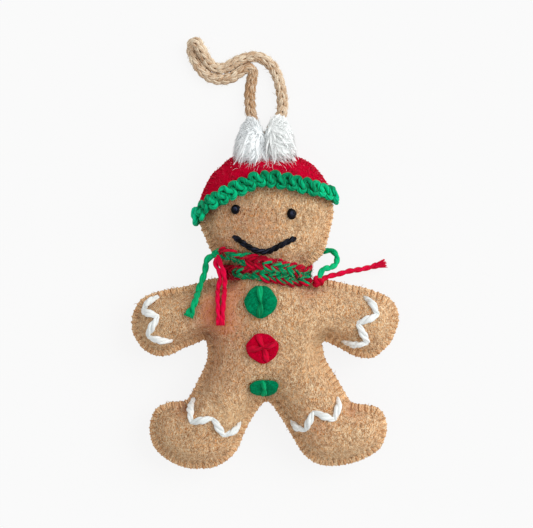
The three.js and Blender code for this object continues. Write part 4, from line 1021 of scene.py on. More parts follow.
trim_middle = smooth(place(TRIM_SHARES), 30)
trim_left, trim_right = (beside(share, HAT_OUTSET - 0.9) for share in TRIM_END_SHARES)
trim_front = seat(hat_front_face, trim_middle, TRIM_LIFT)
trim_back = seat(hat_back_face, trim_middle[::-1], TRIM_LIFT, -1)
trim_band = band_of(*(
    np.vstack(ends) for ends in zip(trim_left, trim_front, trim_right, trim_back)
), 900, closed=True)
trim_strands = bobbles(trim_band, round(trim_band.length / TRIM_PITCH), TRIM_STITCH, 31)
trim_fullness = TRIM_STRAND * (0.72 + 0.28 * np.sin(np.pi * np.linspace(0, 1, 30)) ** 0.5)
trim_run = np.linspace(0, trim_band.length, 400, endpoint=False)
trim_core = tubes(
    on_band(trim_band, trim_run, np.zeros(400), np.full(400, -0.85))[None], 2.5, 12, closed=True, flat=0.3,
    up=read_along(trim_band.run, trim_band.off, trim_run)[None],
)
green_wool = yarn_look("green_wool_look", (0.0, 0.13, 0.045), (0.0, 0.47, 0.18), fibre=1500, bump=0.45)
# Its second pair of greens is a brighter, lit copy of the first, shown as painted light where the band turns
# round the head.
trim_wool = yarn_look(
    "trim_wool_look", (0.0, 0.18, 0.07), (0.0, 0.68, 0.3), fibre=1300, bump=0.8, twist=125,
    other=((0.0, 0.42, 0.19), (0.0, 0.85, 0.48)),
)
trim_parts = toned([tubes(line[None], trim_fullness, 10) for line in trim_strands], 33)
# Painted shade: the core under the bobbles is darkened, so that the holes between them read dark.
trim_parts.append((*trim_core, np.full(len(trim_core[0]), -3)))
# Painted light: the wool is brighter where the band turns round the head and catches the light.
yarn_piece("trim", [
    (*part, ramp(np.abs(part[0][:, 0] - MIDDLE_X), 26.5, 29.5)) for part in trim_parts
], trim_wool, "green_yarn", "hat_trim")


# Tufts: two bunches of white faux fur, each a soft core with long hairs in locks that fall
# outwards over the hat. A red stitch between them holds both to the crown.
TUFT_RADII = (6.0, 10.4, 6.8)
TUFT_HEIGHT = 14.2
TUFT_HAIRS = 2600
TUFT_LOCKS = 700
TUFT_CORE = 0.9


def blob(centre, radii, stations=14, sides=18):
    """A closed ellipsoid, as a tube along y that narrows at both ends."""
    turn = np.linspace(0.12, np.pi - 0.12, stations)
    line = centre + np.outer(-np.cos(turn) * radii[1], [0, 1, 0])
    up = np.array([0, 0, 1.0])
    return tubes(line[None], radii[0] * np.sin(turn), sides, flat=radii[2] / radii[0], up=up)


def leaning(x, height, lean):
    """A tuft's x, narrowed towards its top and leant sideways towards its fringe."""
    return x * (1 - 0.25 * height) - lean * np.minimum(height, 0) ** 2 * np.sign(height)


def combed(centre, radii, tie, count, locks, thickness, stations, sides, seed, lean):
    """Hairs, or whole locks of them, combed over a tuft from the place where it is tied.

    On a ball whose pole is the tie, a hair's angle off the pole grows along it while its bearing
    closes in on its lock's, and it rises off the core to a tip just past the ball. The ball is
    then stretched to the radii and narrowed towards its top.
    """
    random = np.random.default_rng(seed)
    pole = np.array(tie) / np.linalg.norm(tie)
    right = np.cross(pole, [0, 0, 1.0])
    right /= np.linalg.norm(right)
    other = np.cross(pole, right)
    which = random.integers(0, locks, count)
    t = np.linspace(0, 1, stations)
    start = np.arccos(random.uniform(-0.95, 1, locks))[which] + random.normal(0, 0.2, count) - 0.3
    angle = start[:, None] + random.uniform(0.45, 0.85, count)[:, None] * t
    sway = random.normal(0, 0.25, locks)[which][:, None] * t
    off_lock = random.normal(0, 0.28, count)[:, None] * (1 - 0.7 * t)
    bearing = random.uniform(0, 2 * np.pi, locks)[which][:, None] + off_lock + sway
    rise = (random.uniform(0.08, 0.28, locks)[which] * random.uniform(0.6, 1.2, count))[:, None]
    round_pole = np.cos(bearing)[..., None] * right + np.sin(bearing)[..., None] * other
    way = np.cos(angle)[..., None] * pole + np.sin(angle)[..., None] * round_pole
    reach = TUFT_CORE - 0.03 + rise * t**1.2 * (1 + 1.1 * np.maximum(-way[..., 1], 0))
    lines = way * reach[..., None] * radii
    lines[..., 0] = leaning(lines[..., 0], lines[..., 1] / radii[1], lean)
    lines += centre
    rest = np.where(
        sample(crown_inside, lines[..., 0], lines[..., 1]) > -0.5,
        sample(hat_front, lines[..., 0], lines[..., 1]) + 0.25 + 0.5 * thickness, 0.6,
    )
    # Hairs that would have to pass under the hat are left out, and the rest lie on it.
    free = (rest - lines[..., 2]).max(axis=1) < 3
    lines[..., 2] = np.maximum(lines[..., 2], rest)
    taper = np.interp(t, [0, 0.25, 0.6, 0.85, 1], [0.6, 1, 0.9, 0.5, 0.12])
    thick = thickness * taper * random.uniform(0.7, 1.2, (count, 1))
    tone = 0.4 * random.uniform(-1, 1, locks)[which] + 0.3 * random.uniform(-1, 1, count)
    hairs = tubes(lines[free], thick[free], sides)
    return *hairs, per_tube(tone[free], hairs[0])


def tuft(name, share, tie, lean, droop, look, seed):
    """A tuft: its soft core, narrower at the top, under its combed locks and loose hairs.

    Below its middle it is droop times as long, and what droops rises over the hat's dome.
    """
    centre = np.array([*place(share)[0], TUFT_HEIGHT])
    radii = np.array(TUFT_RADII)
    points, faces, lay = blob(centre, TUFT_CORE * radii, 24, 30)
    points[:, 0] = centre[0] + leaning(points[:, 0] - centre[0], (points[:, 1] - centre[1]) / radii[1], lean)
    points, faces, lay, tone = joined([
        (points, faces, lay, np.full(len(points), 0.4)),
        combed(centre, radii, tie, TUFT_LOCKS, TUFT_LOCKS, 0.6, 8, 7, seed, lean),
        combed(centre, 1.04 * radii, tie, TUFT_HAIRS, 160, 0.14, 5, 3, seed + 10, lean),
    ])
    below = np.maximum(centre[1] - points[:, 1], 0)
    points[:, 1] -= (droop - 1) * below
    points[:, 2] += (droop - 1) * below
    fur = yarn_piece(f"{name}_visual", [(points, faces, lay, tone)], look, "white_tuft", name)


cool_fur, warm_fur = (
    yarn_look(f"{name}_fur_look", dark, (0.98, 1.0, 1.0), fibre=1300, bump=0.05, sheen=0.0)
    for name, dark in (("cool", (0.95, 0.985, 1.0)), ("warm", (0.95, 0.975, 0.965)))
)
tuft("tuft_left", (-0.101, 1.015), (0.65, 0.45, 0.6), 2.2, 1.18, cool_fur, 41)
tuft("tuft_right", (0.099, 1.023), (-0.6, 0.5, 0.6), 0.0, 1.05, warm_fur, 42)
shed = place((-0.01, 0.975)) + np.random.default_rng(45).normal(0, 1, (170, 2)) * [7.5, 3.2]
shed = shed[sample(hat_cut, shed[:, 0], shed[:, 1]) > 0.5]
yarn_piece("tuft_strays", [
    stray(hat_front_face, shed, 3.0, 46, lift=0.35, radius=0.06),
], cool_fur, "white_tuft")


def plied(line, normals, radius, plies, lay_length, flat=1.0, phase=0.0):
    """The middle lines of plies that twist about one line: radius may change along it."""
    along = np.gradient(line, axis=0)
    along /= np.linalg.norm(along, axis=1, keepdims=True)
    across = np.cross(along, normals)
    across /= np.linalg.norm(across, axis=1, keepdims=True)
    over = np.cross(across, along)
    run = run_along(line)
    turn = 2 * np.pi * (run[None] / lay_length + (np.arange(plies)[:, None] + phase) / plies)
    radius = np.broadcast_to(radius, run.shape)[None, :, None]
    return line + radius * (np.cos(turn)[..., None] * across + flat * np.sin(turn)[..., None] * over)


def box_of(node):
    """A CAD node's box in millimetres: its low corner, its high corner and its middle."""
    low, high = (np.array(end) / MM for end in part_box(node))
    return low, high, (low + high) / 2


stitch_reach = np.linspace(-1, 1, 14)
stitch_line = box_of("tuft_stitch")[2] + np.outer(stitch_reach, [0.9, 0, 0])
stitch_line = stitch_line - np.outer(2 + stitch_reach**2, [0, 0, 0.5])
stitch_plies = plied(stitch_line, np.array([[0, 0, 1.0]]), 0.34, 2, 2.4)
yarn_piece("tuft_thread", toned([tubes(stitch_plies, 0.38, 7)], 0), red_thread, "red_yarn", "tuft_stitch")


# Face: two eyes of black yarn wound into French knots, and a mouth of the same yarn laid in a
# curve and caught down at its ends.
# Each eye's place, the angle at which its strand starts and how tall its knot is for its width.
EYES = {"eye_left": ((-0.214, 0.81), 0.4, 1.1), "eye_right": ((0.194, 0.797), 1.6, 1.3)}
MOUTH_SHARES = [
    [-0.234, 0.729], [-0.187, 0.716], [-0.135, 0.7], [-0.068, 0.688], [0.004, 0.684],
    [0.066, 0.691], [0.14, 0.707], [0.222, 0.724],
]
EYE_TURNS = 2.6
EYE_STRAND = 0.6

# Its light, bluish shade is the colour of the eyes' painted highlight.
black_yarn = yarn_look(
    "black_yarn_look", (0.001, 0.001, 0.002), (0.045, 0.055, 0.105), roughness=0.4, sheen=0.0,
)


def french_knot(share, start, tall):
    """A strand that winds up over itself into a dome on the felt."""
    t = np.linspace(0, 1, 60)
    turn = 2 * np.pi * EYE_TURNS * t + start
    reach = 1.25 * (1 - t) ** 0.6 + 0.12
    spots = place(share) + np.column_stack([reach * np.cos(turn), tall * reach * np.sin(turn)])
    return seat(front_face, spots, 0.35 + 1.5 * t**0.8)[0]


for name, (share, start, tall) in EYES.items():
    eye = seat(front_face, place(share)[0], 0.5)[0]
    points, faces, lay = joined([
        tubes(french_knot(share, start, tall)[None], EYE_STRAND, 9), blob(eye, (1.3, 1.5, 0.8)),
    ])
    # Painted highlight: the topmost turns are lighter.
    painted_highlight = np.exp(-(((points - eye - [0.1, 0.45, 1.9]) / [0.75, 0.8, 1.0]) ** 2).sum(axis=1))
    yarn_piece(f"{name}_knot", [(points, faces, lay, 4.2 * painted_highlight - 2.2)], black_yarn, "black_yarn", name)


def laid_yarn(spots, lift, sink, width, thick, plies, lay_length, ends, count, phase=0.0):
    """A plied yarn laid on the front felt, that thins and sinks into it at both ends."""
    t = np.linspace(0, 1, count)
    full = np.clip(np.minimum(t, 1 - t) / ends, 0, 1) ** 0.7
    line, normal = seat(front_face, smooth(spots, count), sink + (lift - sink) * full)
    strand = 0.5 * width * (0.62 if plies == 2 else 0.5)
    off_middle = (0.5 * width - strand) * (0.35 + 0.65 * full)
    lines = plied(line, normal, off_middle, plies, lay_length, thick, phase)
    return tubes(lines, strand * (0.45 + 0.55 * full), 8)


mouth = laid_yarn(
    place(MOUTH_SHARES), lift=0.9, sink=-0.3, width=2.6, thick=0.8, plies=2, lay_length=5.5, ends=0.05,
    count=90,
)
yarn_piece("mouth_yarn", [(*mouth, np.full(len(mouth[0]), -1.5))], black_yarn, "black_yarn", "mouth")


# Scarf: a chain crocheted with a red and a green yarn held together, one and a half times round
# the neck, knotted at both ends.
SCARF_UPPER_SHARES = [
    [-0.299, 0.683], [-0.254, 0.686], [-0.187, 0.673], [-0.098, 0.655], [-0.001, 0.643],
    [0.103, 0.635], [0.193, 0.629], [0.252, 0.624],
]
SCARF_BACK_SHARES = [[0.2, 0.615], [0.096, 0.615], [-0.016, 0.616], [-0.128, 0.618], [-0.239, 0.619]]
SCARF_LOWER_SHARES = [
    [-0.24, 0.618], [-0.18, 0.616], [-0.068, 0.613], [0.036, 0.606], [0.133, 0.596], [0.23, 0.587],
    [0.345, 0.588],
]
SCARF_PITCH = 3.3
SCARF_LIFT = 1.5
SCARF_STRAND = 0.62
SCARF_HAIRS = 520
KNOT_WIDTH = 5.2
KNOT_STRAND = 0.85
CREST = 26  # the belly's greatest height
RED_SHADES = ((0.26, 0.0, 0.01), (0.78, 0.0, 0.04))
GREEN_SHADES = ((0.0, 0.14, 0.05), (0.0, 0.5, 0.19))
# How much of the scarf is green, at places along it, in its strands from the chin's side to the
# belly's. A yarn stays on top for two stitches or so before the other takes its place.
GREEN_PLACES = [0.0, 0.03, 0.07, 0.11, 0.15, 0.22, 0.3, 0.42, 0.62, 0.7, 0.76, 0.84, 0.92, 1.0]
GREEN_AMOUNTS = np.array([
    [0.0, 0.2, 1.0, 0.2, 0.0, 0.0, 0.0, 0.2, 0.0, 0.0, 0.1, 0.1, 0.8, 0.6],
    [0.0, 0.6, 1.0, 0.4, 0.7, 0.9, 0.3, 0.6, 0.0, 0.1, 0.7, 0.9, 1.0, 0.7],
    [0.0, 0.8, 0.6, 0.3, 0.9, 0.9, 0.8, 0.6, 0.0, 0.1, 0.9, 1.0, 1.0, 0.5],
    [0.3, 0.4, 0.2, 0.0, 0.2, 0.5, 0.6, 0.2, 0.0, 0.0, 0.8, 0.6, 0.1, 0.2],
])


def scarf_route():
    """The scarf's middle line and normals: the upper run, the neck's back and the lower run."""
    upper_lift = SCARF_LIFT + 1.0 * np.minimum(1, np.arange(len(SCARF_UPPER_SHARES)) / 3)
    upper = seat(front_face, place(SCARF_UPPER_SHARES), upper_lift)
    behind = seat(back_face, place(SCARF_BACK_SHARES), SCARF_LIFT, -1)
    lower = seat(front_face, place(SCARF_LOWER_SHARES), SCARF_LIFT)
    lower[0][-1, 2] = max(lower[0][-1, 2], 0.77 * CREST)
    left, right = (beside(share, SCARF_LIFT + 0.5) for share in NECK_SHARES)
    return band_of(*(np.vstack(runs) for runs in zip(upper, right, behind, left, lower)), 700)


def leg_places(first, pitch, t, spread, slant, length):
    """Where the stations of a stitch's leg lie along a chain, on from under the stitch before."""
    return np.clip(first + pitch * (1.4 * t - 0.25) - spread * np.sin(slant), 0.01, length - 0.01)


def chain(band, pitch, width, height, radius, strands, seed):
    """A crocheted chain's legs, as lines[stitch, leg, station, xyz].

    Two legs open out of each stitch's middle in a V. Each is a few strands side by side, which
    rise from under the last stitch, cross the band and dive under the next.
    """
    stitches = int(band.length / pitch)
    random = np.random.default_rng(seed)
    t = np.linspace(0, 1, 8)
    slant = np.arctan2(0.4 * width, 1.3 * pitch)
    legs = []
    for side in (-1, 1):
        for strand in range(strands):
            spread = (strand - (strands - 1) / 2) * 1.8 * radius * (0.5 + 0.5 * np.sin(np.pi * t) ** 0.5)
            first = pitch * np.arange(stitches)[:, None] + random.normal(0, 0.25, (stitches, 1))
            bow = width * (0.03 + 0.36 * np.sin(0.62 * np.pi * t) ** 0.9) + spread * np.cos(slant)
            v = side * bow * random.uniform(0.85, 1.15, (stitches, 1))
            lift = random.normal(0, 0.22, (stitches, 1))
            w = height * (-0.8 + 1.6 * np.sin(np.pi * (0.08 + 0.92 * t) ** 0.8)) + lift
            legs.append(on_band(band, leg_places(first, pitch, t, spread, slant, band.length), v, w))
    return np.stack(legs, axis=1)


def scarf_colours(band, legs):
    """1 for each strand of the scarf that is green, as [stitch, leg], read along the chain."""
    at = (np.arange(legs.shape[0]) + 0.3) * SCARF_PITCH / band.length
    share = np.stack([np.interp(at, GREEN_PLACES, row) for row in GREEN_AMOUNTS], -1)
    draw = np.random.default_rng(52).uniform(0.08, 0.92, share.shape)
    draw = np.repeat(draw, 2, axis=0)[:len(share)]
    # The legs come as inner and outer strands of one side and then of the other.
    return (draw < share)[:, [1, 0, 2, 3]].astype(float)


def chain_piece(name, legs, radius, core, look, tones, others, slot, node, body="ornament"):
    """A chain as one mesh: its legs as short tubes that thin at both ends, round a plain core that is
    darkened as painted shade between the legs.
    """
    stations = legs.shape[2]
    taper = 0.72 + 0.28 * np.sin(np.pi * np.linspace(0, 1, stations)) ** 0.6
    strands = tubes(legs.reshape(-1, stations, 3), radius * taper, 6)
    return yarn_piece(name, [
        (*strands, *(per_tube(values.ravel(), strands[0]) for values in (tones, others))),
        # The core is darker, as painted shade in the gaps between the legs.
        (*core, np.full(len(core[0]), -1.5), np.zeros(len(core[0]))),
    ], look, slot, node, body=body)


def places_on(legs, count, random):
    """Random stations on a chain's legs: which stitch, which leg and where along it."""
    ends = (0, legs.shape[0]), (0, legs.shape[1]), (2, 6)
    return tuple(random.integers(low, high, count) for low, high in ends)


scarf_band = scarf_route()
scarf_legs = chain(scarf_band, SCARF_PITCH, 5.0, 0.85, SCARF_STRAND, 2, 51)
scarf_look = yarn_look("scarf_look", *RED_SHADES, fibre=2600, other=GREEN_SHADES)
core_line, core_off = scarf_band.line[None, ::4], scarf_band.off[None, ::4]
scarf_core = tubes(core_line - 0.6 * core_off, 1.5, 10, flat=0.4, up=core_off)
scarf_tones = np.random.default_rng(53).uniform(-1.4, 1, scarf_legs.shape[:2])
chain_piece(
    "scarf_chain", scarf_legs, SCARF_STRAND, scarf_core, scarf_look, scarf_tones,
    scarf_colours(scarf_band, scarf_legs), "scarf_yarn", "scarf",
)
scarf_fibre = yarn_look(
    "scarf_fibre_look", (0.5, 0.0, 0.03), (0.9, 0.1, 0.15), bump=0.0,
    other=((0.02, 0.3, 0.12), (0.5, 0.75, 0.6)),
)
hair_draws = np.random.default_rng(56)
picked = places_on(scarf_legs, SCARF_HAIRS, hair_draws)
scarf_normal = read_along(scarf_band.run, scarf_band.off, (picked[0] + 0.3) * SCARF_PITCH)
scarf_heading = hair_draws.normal(0, 1, (SCARF_HAIRS, 3))
scarf_hairs = loose_hairs(
    scarf_legs[picked] + 0.4 * scarf_normal, scarf_normal, scarf_heading, 1.9, 0.5, 0.05, 57,
)
hair_is_green = (hair_draws.uniform(0, 1, SCARF_HAIRS) < 0.35).astype(float)
yarn_piece(
    "scarf_fuzz", [(*scarf_hairs, per_tube(hair_is_green, scarf_hairs[0]))], scarf_fibre, "scarf_yarn",
)
red_wool = yarn_look("red_wool_look", *RED_SHADES, fibre=2600)
bright_red = yarn_look("bright_red_look", (0.56, 0.0, 0.025), (0.92, 0.0, 0.07), fibre=1500)
bright_green = yarn_look("bright_green_look", (0.0, 0.28, 0.1), (0.0, 0.56, 0.22), fibre=1500)


def trefoil(centre, size, strand, turn):
    """A closed strand tied in a simple overhand knot."""
    t = np.linspace(0, 2 * np.pi, 90, endpoint=False)
    scale = (0.5 * size - strand) / 3
    flat = scale * np.stack([np.sin(t) + 2 * np.sin(2 * t), np.cos(t) - 2 * np.cos(2 * t)], -1)
    spun = flat @ np.array([[np.cos(turn), np.sin(turn)], [-np.sin(turn), np.cos(turn)]])
    return centre + np.column_stack([spun, -1.5 * scale * np.sin(3 * t)])


def scarf_knot(side, turn, look, slot, seed):
    """One of the scarf's knots, a strand tied round its own fill. Gives its middle."""
    node = f"scarf_knot_{side}"
    middle = box_of(node)[2]
    strand = tubes(trefoil(middle, KNOT_WIDTH, KNOT_STRAND, turn)[None], KNOT_STRAND, 9, closed=True)
    parts = [strand, blob(middle, (1.4, 1.5, 1.4))]
    yarn_piece(f"knot_{side}", toned(parts, seed), look, slot, node)
    return middle


left_knot = scarf_knot("left", 0.5, bright_green, "green_yarn", 54)
right_knot = scarf_knot("right", 1.4, red_wool, "red_yarn", 55)


# Yarn tails: the two-ply ends left beyond each knot, cut off and fraying.
# Each tail's places as shares, with their height as a share of the belly's crest.
TAIL_SHARES = {
    "tail_green_left": [
        [-0.425, 0.658, 0.72], [-0.445, 0.62, 0.66], [-0.466, 0.592, 0.7], [-0.493, 0.561, 0.7],
        [-0.515, 0.527, 0.7], [-0.556, 0.486, 0.6],
    ],
    "tail_red_left_outer": [
        [-0.366, 0.645, 0.8], [-0.33, 0.608, 0.86], [-0.349, 0.561, 0.8], [-0.347, 0.525, 0.8],
        [-0.342, 0.49, 0.8], [-0.342, 0.461, 0.8],
    ],
    "tail_red_left_inner": [
        [-0.333, 0.648, 0.85], [-0.3, 0.608, 0.9], [-0.299, 0.561, 0.8], [-0.304, 0.525, 0.8],
        [-0.311, 0.49, 0.8], [-0.314, 0.461, 0.8],
    ],
    "tail_green_right": [
        [0.428, 0.626, 0.64], [0.477, 0.631, 0.52], [0.52, 0.64, 0.4], [0.537, 0.659, 0.3],
        [0.52, 0.678, 0.24], [0.476, 0.687, 0.2], [0.45, 0.683, 0.2],
    ],
    "tail_red_right": [
        [0.47, 0.604, 0.55], [0.545, 0.611, 0.45], [0.62, 0.62, 0.36], [0.729, 0.627, 0.2],
        [0.863, 0.641, 0.05],
    ],
}
TAIL_STATIONS = 70
TAIL_FIBRES = 90  # in the brush at its end


def tail(name, knot, width, look, slot, seed, flare, brush=0.9):
    """Two loosely laid plies that leave a knot, rest on the felt and end in a short blunt brush."""
    shares = np.array(TAIL_SHARES[name])
    route = np.column_stack([place(shares[:, :2]), shares[:, 2] * CREST])
    line = smooth(np.vstack([knot, route]), TAIL_STATIONS)
    over_felt = sample(panel, line[:, 0], line[:, 1]) > 0
    resting = sample(front, line[:, 0], line[:, 1]) + 0.5 * width
    line[:, 2] = np.maximum(np.where(over_felt, np.maximum(line[:, 2], resting), line[:, 2]), 1.2)
    open_end = ramp(np.linspace(0, 1, TAIL_STATIONS), 0.8, 1)
    plies = plied(line, np.array([[0, 0, 1.0]]), 0.17 * width * (1 + 0.9 * flare * open_end), 2, 8.5)
    random = np.random.default_rng(seed)
    heading = line[-1] - line[-6]
    heading = heading / np.linalg.norm(heading)
    across = np.cross(heading, [0, 0, 1.0])
    share = random.uniform(-1, 1, (TAIL_FIBRES, 1))
    root = line[-1 - random.integers(1, 8, TAIL_FIBRES)] + share * 0.3 * width * across
    root = root + random.uniform(-0.2, 0.2, (TAIL_FIBRES, 1)) * width * [0, 0, 1]
    loose = heading + share * 0.25 * flare * across + random.normal(0, 0.06, (TAIL_FIBRES, 3))
    tip = line[-1] + share * 0.3 * width * (1 + 0.5 * flare) * across
    tip = tip + loose * random.uniform(0.75, 1.1, (TAIL_FIBRES, 1)) * brush
    tip[:, 2] = root[:, 2]
    ends = bent(np.stack([root, 0.5 * (root + tip), tip], axis=1), 5)
    ends[..., 2] = np.maximum(ends[..., 2], 0.4)
    yarn_piece(f"{name}_yarn", toned([
        tubes(plies, 0.33 * width * (1 - 0.25 * open_end), 9),
        tubes(ends, 0.17 * np.array([1, 1, 1, 0.9, 0.6]), 4),
    ], seed), look, slot, name)


tail("tail_green_left", left_knot, 2.7, bright_green, "green_yarn", 61, flare=1.9)
tail("tail_red_left_outer", left_knot, 2.1, bright_red, "red_yarn", 62, flare=0.6)
tail("tail_red_left_inner", left_knot, 2.1, bright_red, "red_yarn", 63, flare=0.6)
tail("tail_green_right", right_knot, 2.5, bright_green, "green_yarn", 64, flare=0.3)
tail("tail_red_right", right_knot, 2.3, bright_red, "red_yarn", 65, flare=1.2, brush=2.6)


# Buttons: small felt discs that follow the belly, each sewn on by fat yarn stitches from its middle
# to its rim. The upper and lower ones are green, and the middle one is red with four stitches.
# Each button's place, its two widths, how square it is cut, its stitches' length as a share of its
# widths, and the ways that they go, in degrees.
BUTTONS = {
    "button_top": ((-0.031, 0.523), (12.2, 11.4), 0.03, 0.46, (94, 266)),
    "button_middle": ((-0.018, 0.385), (12.2, 11.3), 0.02, 0.46, (108, 288, 22, 186)),
    "button_bottom": ((-0.009, 0.265), (12.7, 8.8), -0.055, 0.38, (98, 268)),
}
BUTTON_THICKNESS = 1.4
BUTTON_LIFT = 0.6
BUTTON_SIDES = 72
# A button's rings, from the middle of its top over its edge: their reach and their level.
BUTTON_RINGS = [
    (0.02, 1.0), (0.15, 1.0), (0.3, 1.0), (0.45, 1.0), (0.6, 0.99), (0.75, 0.97), (0.87, 0.93), (0.95, 0.84),
    (0.99, 0.66), (1.0, 0.45), (0.99, 0.2), (0.94, 0.03), (0.6, 0.0), (0.3, 0.0), (0.02, 0.0),
]


def tangents(face, share):
    """A place on a face with the directions that run right and up along the felt there."""
    point, normal = seat(face, place(share)[0])
    right = np.cross([0, 1.0, 0], normal)
    right /= np.linalg.norm(right)
    return point, normal, right, np.cross(normal, right)


def button(name, share, size, corner, ways, look, slot):
    """A disc in rings from the middle of its top, over its edge, to the middle of its back."""
    point, normal, right, upward = tangents(front_face, share)
    angle = np.linspace(0, 2 * np.pi, BUTTON_SIDES, endpoint=False)
    pinch = sum(np.exp(-((np.angle(np.exp(1j * (angle - np.radians(way)))) / 0.35) ** 2)) for way in ways)
    radius = 0.5 * (1 + 0.03 * pinch + corner * np.cos(4 * angle) + 0.015 * np.sin(7 * angle))
    reach, level = np.array(BUTTON_RINGS).T
    flat = reach[:, None] * radius
    across = np.stack([size[0] * flat * np.cos(angle), size[1] * flat * np.sin(angle)], -1)
    grooves = 0
    for way in np.radians(ways):
        along = across[..., 0] * np.cos(way) + across[..., 1] * np.sin(way)
        off_groove = across[..., 1] * np.cos(way) - across[..., 0] * np.sin(way)
        grooves = grooves + np.exp(-((off_groove / 1.4) ** 2)) * (along > 0)
    pit = np.exp(-((reach[:, None] / 0.3) ** 2))
    uneven = 0.3 * lumps(across[..., 0], across[..., 1], 3.4, int(size[0] * 10 + size[1]))
    drawn = uneven - 0.5 * np.minimum(grooves, 1) - 0.4 * pit - 0.12 * pinch
    lift = BUTTON_LIFT + level[:, None] * (BUTTON_THICKNESS + 0.3 + drawn)
    spots = point + across[..., :1] * right + across[..., 1:] * upward
    points = seat(front_face, spots[..., :2], lift)[0].reshape(-1, 3)
    middles = seat(front_face, np.array([point[:2], point[:2]]), np.array([lift[0].mean(), BUTTON_LIFT]))[0]
    order = np.arange(len(points)).reshape(1, len(BUTTON_RINGS), BUTTON_SIDES)
    faces = skin(order, len(points) + np.arange(2)[:, None])
    points = np.vstack([points, middles])
    show(build(f"{name}_felt", points, faces, look, shade=np.ones(len(points))), slot, name)


def button_stitch(name, share, size, length, ways, look, slot):
    """Fat yarn stitches from a button's middle to its rim: each swells and sinks at both ends."""
    point, normal, right, upward = tangents(front_face, share)
    top = BUTTON_LIFT + BUTTON_THICKNESS - 0.35
    reach = length * np.array([0.04, 0.16, 0.38, 0.6, 0.8, 0.94, 1.0])
    lift = np.array([top - 0.8, top - 0.1, top + 0.3, top + 0.35, top + 0.15, top - 0.35, 0.3])
    full = np.sin(np.pi * np.linspace(0.04, 0.92, 36)) ** 0.7
    parts = []
    for k, way in enumerate(np.radians(ways)):
        spots = point + reach[:, None] * (size[0] * np.cos(way) * right + size[1] * np.sin(way) * upward)
        laid, normals = seat(front_face, spots[:, :2], lift)
        up = read_along(np.linspace(0, 1, len(reach)), normals, np.linspace(0, 1, 36))
        lines = plied(smooth(laid, 36), up, 0.4 * full, 2, 14.0, phase=0.2 + 0.37 * k)
        parts.append(tubes(lines, 0.95 * (0.3 + 0.7 * full), 9))
    yarn_piece(f"{name}_yarn", toned(parts, len(name)), look, slot, f"{name}_stitch")


green_felt, button_red = (
    felt_look(f"{name}_look", *colours, stretch=(1, 1, 1), grain=900, sheen=0.02, depth=0.5, curl=0.6)
    for name, colours in (
        ("green_felt", ((0.0, 0.09, 0.034), (0.0, 0.25, 0.095), (0.0, 0.47, 0.21))),
        ("button_red", ((0.33, 0.0, 0.01), (0.58, 0.0, 0.018), (0.85, 0.0, 0.06))),
    )
)
for name, (share, size, corner, length, ways) in BUTTONS.items():
    crossed = len(ways) == 4
    felt, yarn, colour = (button_red, red_wool, "red") if crossed else (green_felt, green_wool, "green")
    button(name, share, size, corner, ways, felt, f"{colour}_felt")
    button_stitch(name, share, size, length, ways, yarn, f"{colour}_yarn")


# Icing: thick white yarn in long stitches, one zigzag on each hand and foot.
ZIGZAG_SHARES = {
    "icing_hand_left": [[-0.791, 0.544], [-0.914, 0.494], [-0.786, 0.481], [-0.873, 0.417], [-0.685, 0.403]],
    "icing_hand_right": [[0.733, 0.542], [0.836, 0.484], [0.678, 0.459], [0.763, 0.396], [0.566, 0.401]],
    "icing_foot_left": [[-0.531, 0.227], [-0.551, 0.151], [-0.386, 0.166], [-0.301, 0.109], [-0.181, 0.149]],
    "icing_foot_right": [[0.191, 0.153], [0.298, 0.126], [0.355, 0.186], [0.512, 0.159], [0.54, 0.228]],
}
white_yarn = yarn_look("white_yarn_look", (0.8, 0.84, 0.83), (0.97, 0.98, 0.965), fibre=1100, bump=0.5)
for seed, (name, shares) in enumerate(ZIGZAG_SHARES.items()):
    ends = place(shares)
    parts = []
    for k, (start, end) in enumerate(zip(ends[:-1], ends[1:])):
        spots = start + np.linspace(0, 1, 5)[:, None] * (end - start)
        parts.append(laid_yarn(
            spots, lift=1.15, sink=-0.5, width=3.4, thick=0.62, plies=3, lay_length=11, ends=0.46, count=44,
            phase=0.4 * k,
        ))
    yarn_piece(f"{name}_yarn", toned(parts, 70 + seed), white_yarn, "white_yarn", name)


# Hanging loop: one cord of light brown yarn, crocheted round as a tube of three columns of fat
# stitches. Both ends are tied in the knot behind the tufts, and the loop lies on the floor.
LOOP_DIAMETER = 3.8
LOOP_FULLNESS = 0.95  # that its loose stitches stand off it
LOOP_SHARES = [
    [-0.064, 1.066, 0.95], [-0.086, 1.086, 0.75], [-0.103, 1.113, 0.56], [-0.113, 1.144, 0.52],
    [-0.116, 1.175, 0.52], [-0.109, 1.207, 0.52], [-0.096, 1.235, 0.52], [-0.098, 1.257, 0.52],
    [-0.136, 1.262, 0.52], [-0.188, 1.251, 0.52], [-0.256, 1.233, 0.52], [-0.327, 1.227, 0.52],
    [-0.39, 1.23, 0.52], [-0.446, 1.243, 0.52], [-0.497, 1.265, 0.52], [-0.533, 1.292, 0.52],
    [-0.55, 1.318, 0.62], [-0.544, 1.338, 0.95], [-0.519, 1.343, 1.35], [-0.488, 1.325, 1.3],
    [-0.455, 1.299, 0.95], [-0.416, 1.276, 0.6], [-0.365, 1.262, 0.52], [-0.318, 1.262, 0.52],
    [-0.269, 1.27, 0.52], [-0.217, 1.283, 0.52], [-0.158, 1.293, 0.52], [-0.091, 1.299, 0.52],
    [-0.02, 1.293, 0.52], [0.036, 1.276, 0.52], [0.081, 1.249, 0.52], [0.108, 1.216, 0.52],
    [0.123, 1.182, 0.52], [0.131, 1.15, 0.52],
    [0.126, 1.124, 0.54], [0.102, 1.1, 0.65], [0.069, 1.08, 0.85], [0.044, 1.065, 0.95],
]
LOOP_WALES = 3
LOOP_PITCH = 3.2
LOOP_STRAND = 0.56
LOOP_DARK_START = 27  # of the cord's start, which is darker
LOOP_HAIRS = 900

loop_route = np.array(LOOP_SHARES)
loop_line = smooth(np.column_stack([place(loop_route[:, :2]), loop_route[:, 2] * LOOP_DIAMETER]), 500)
loop_band = band_of(loop_line, np.tile([0, 0, 1.0], (500, 1)), 500)


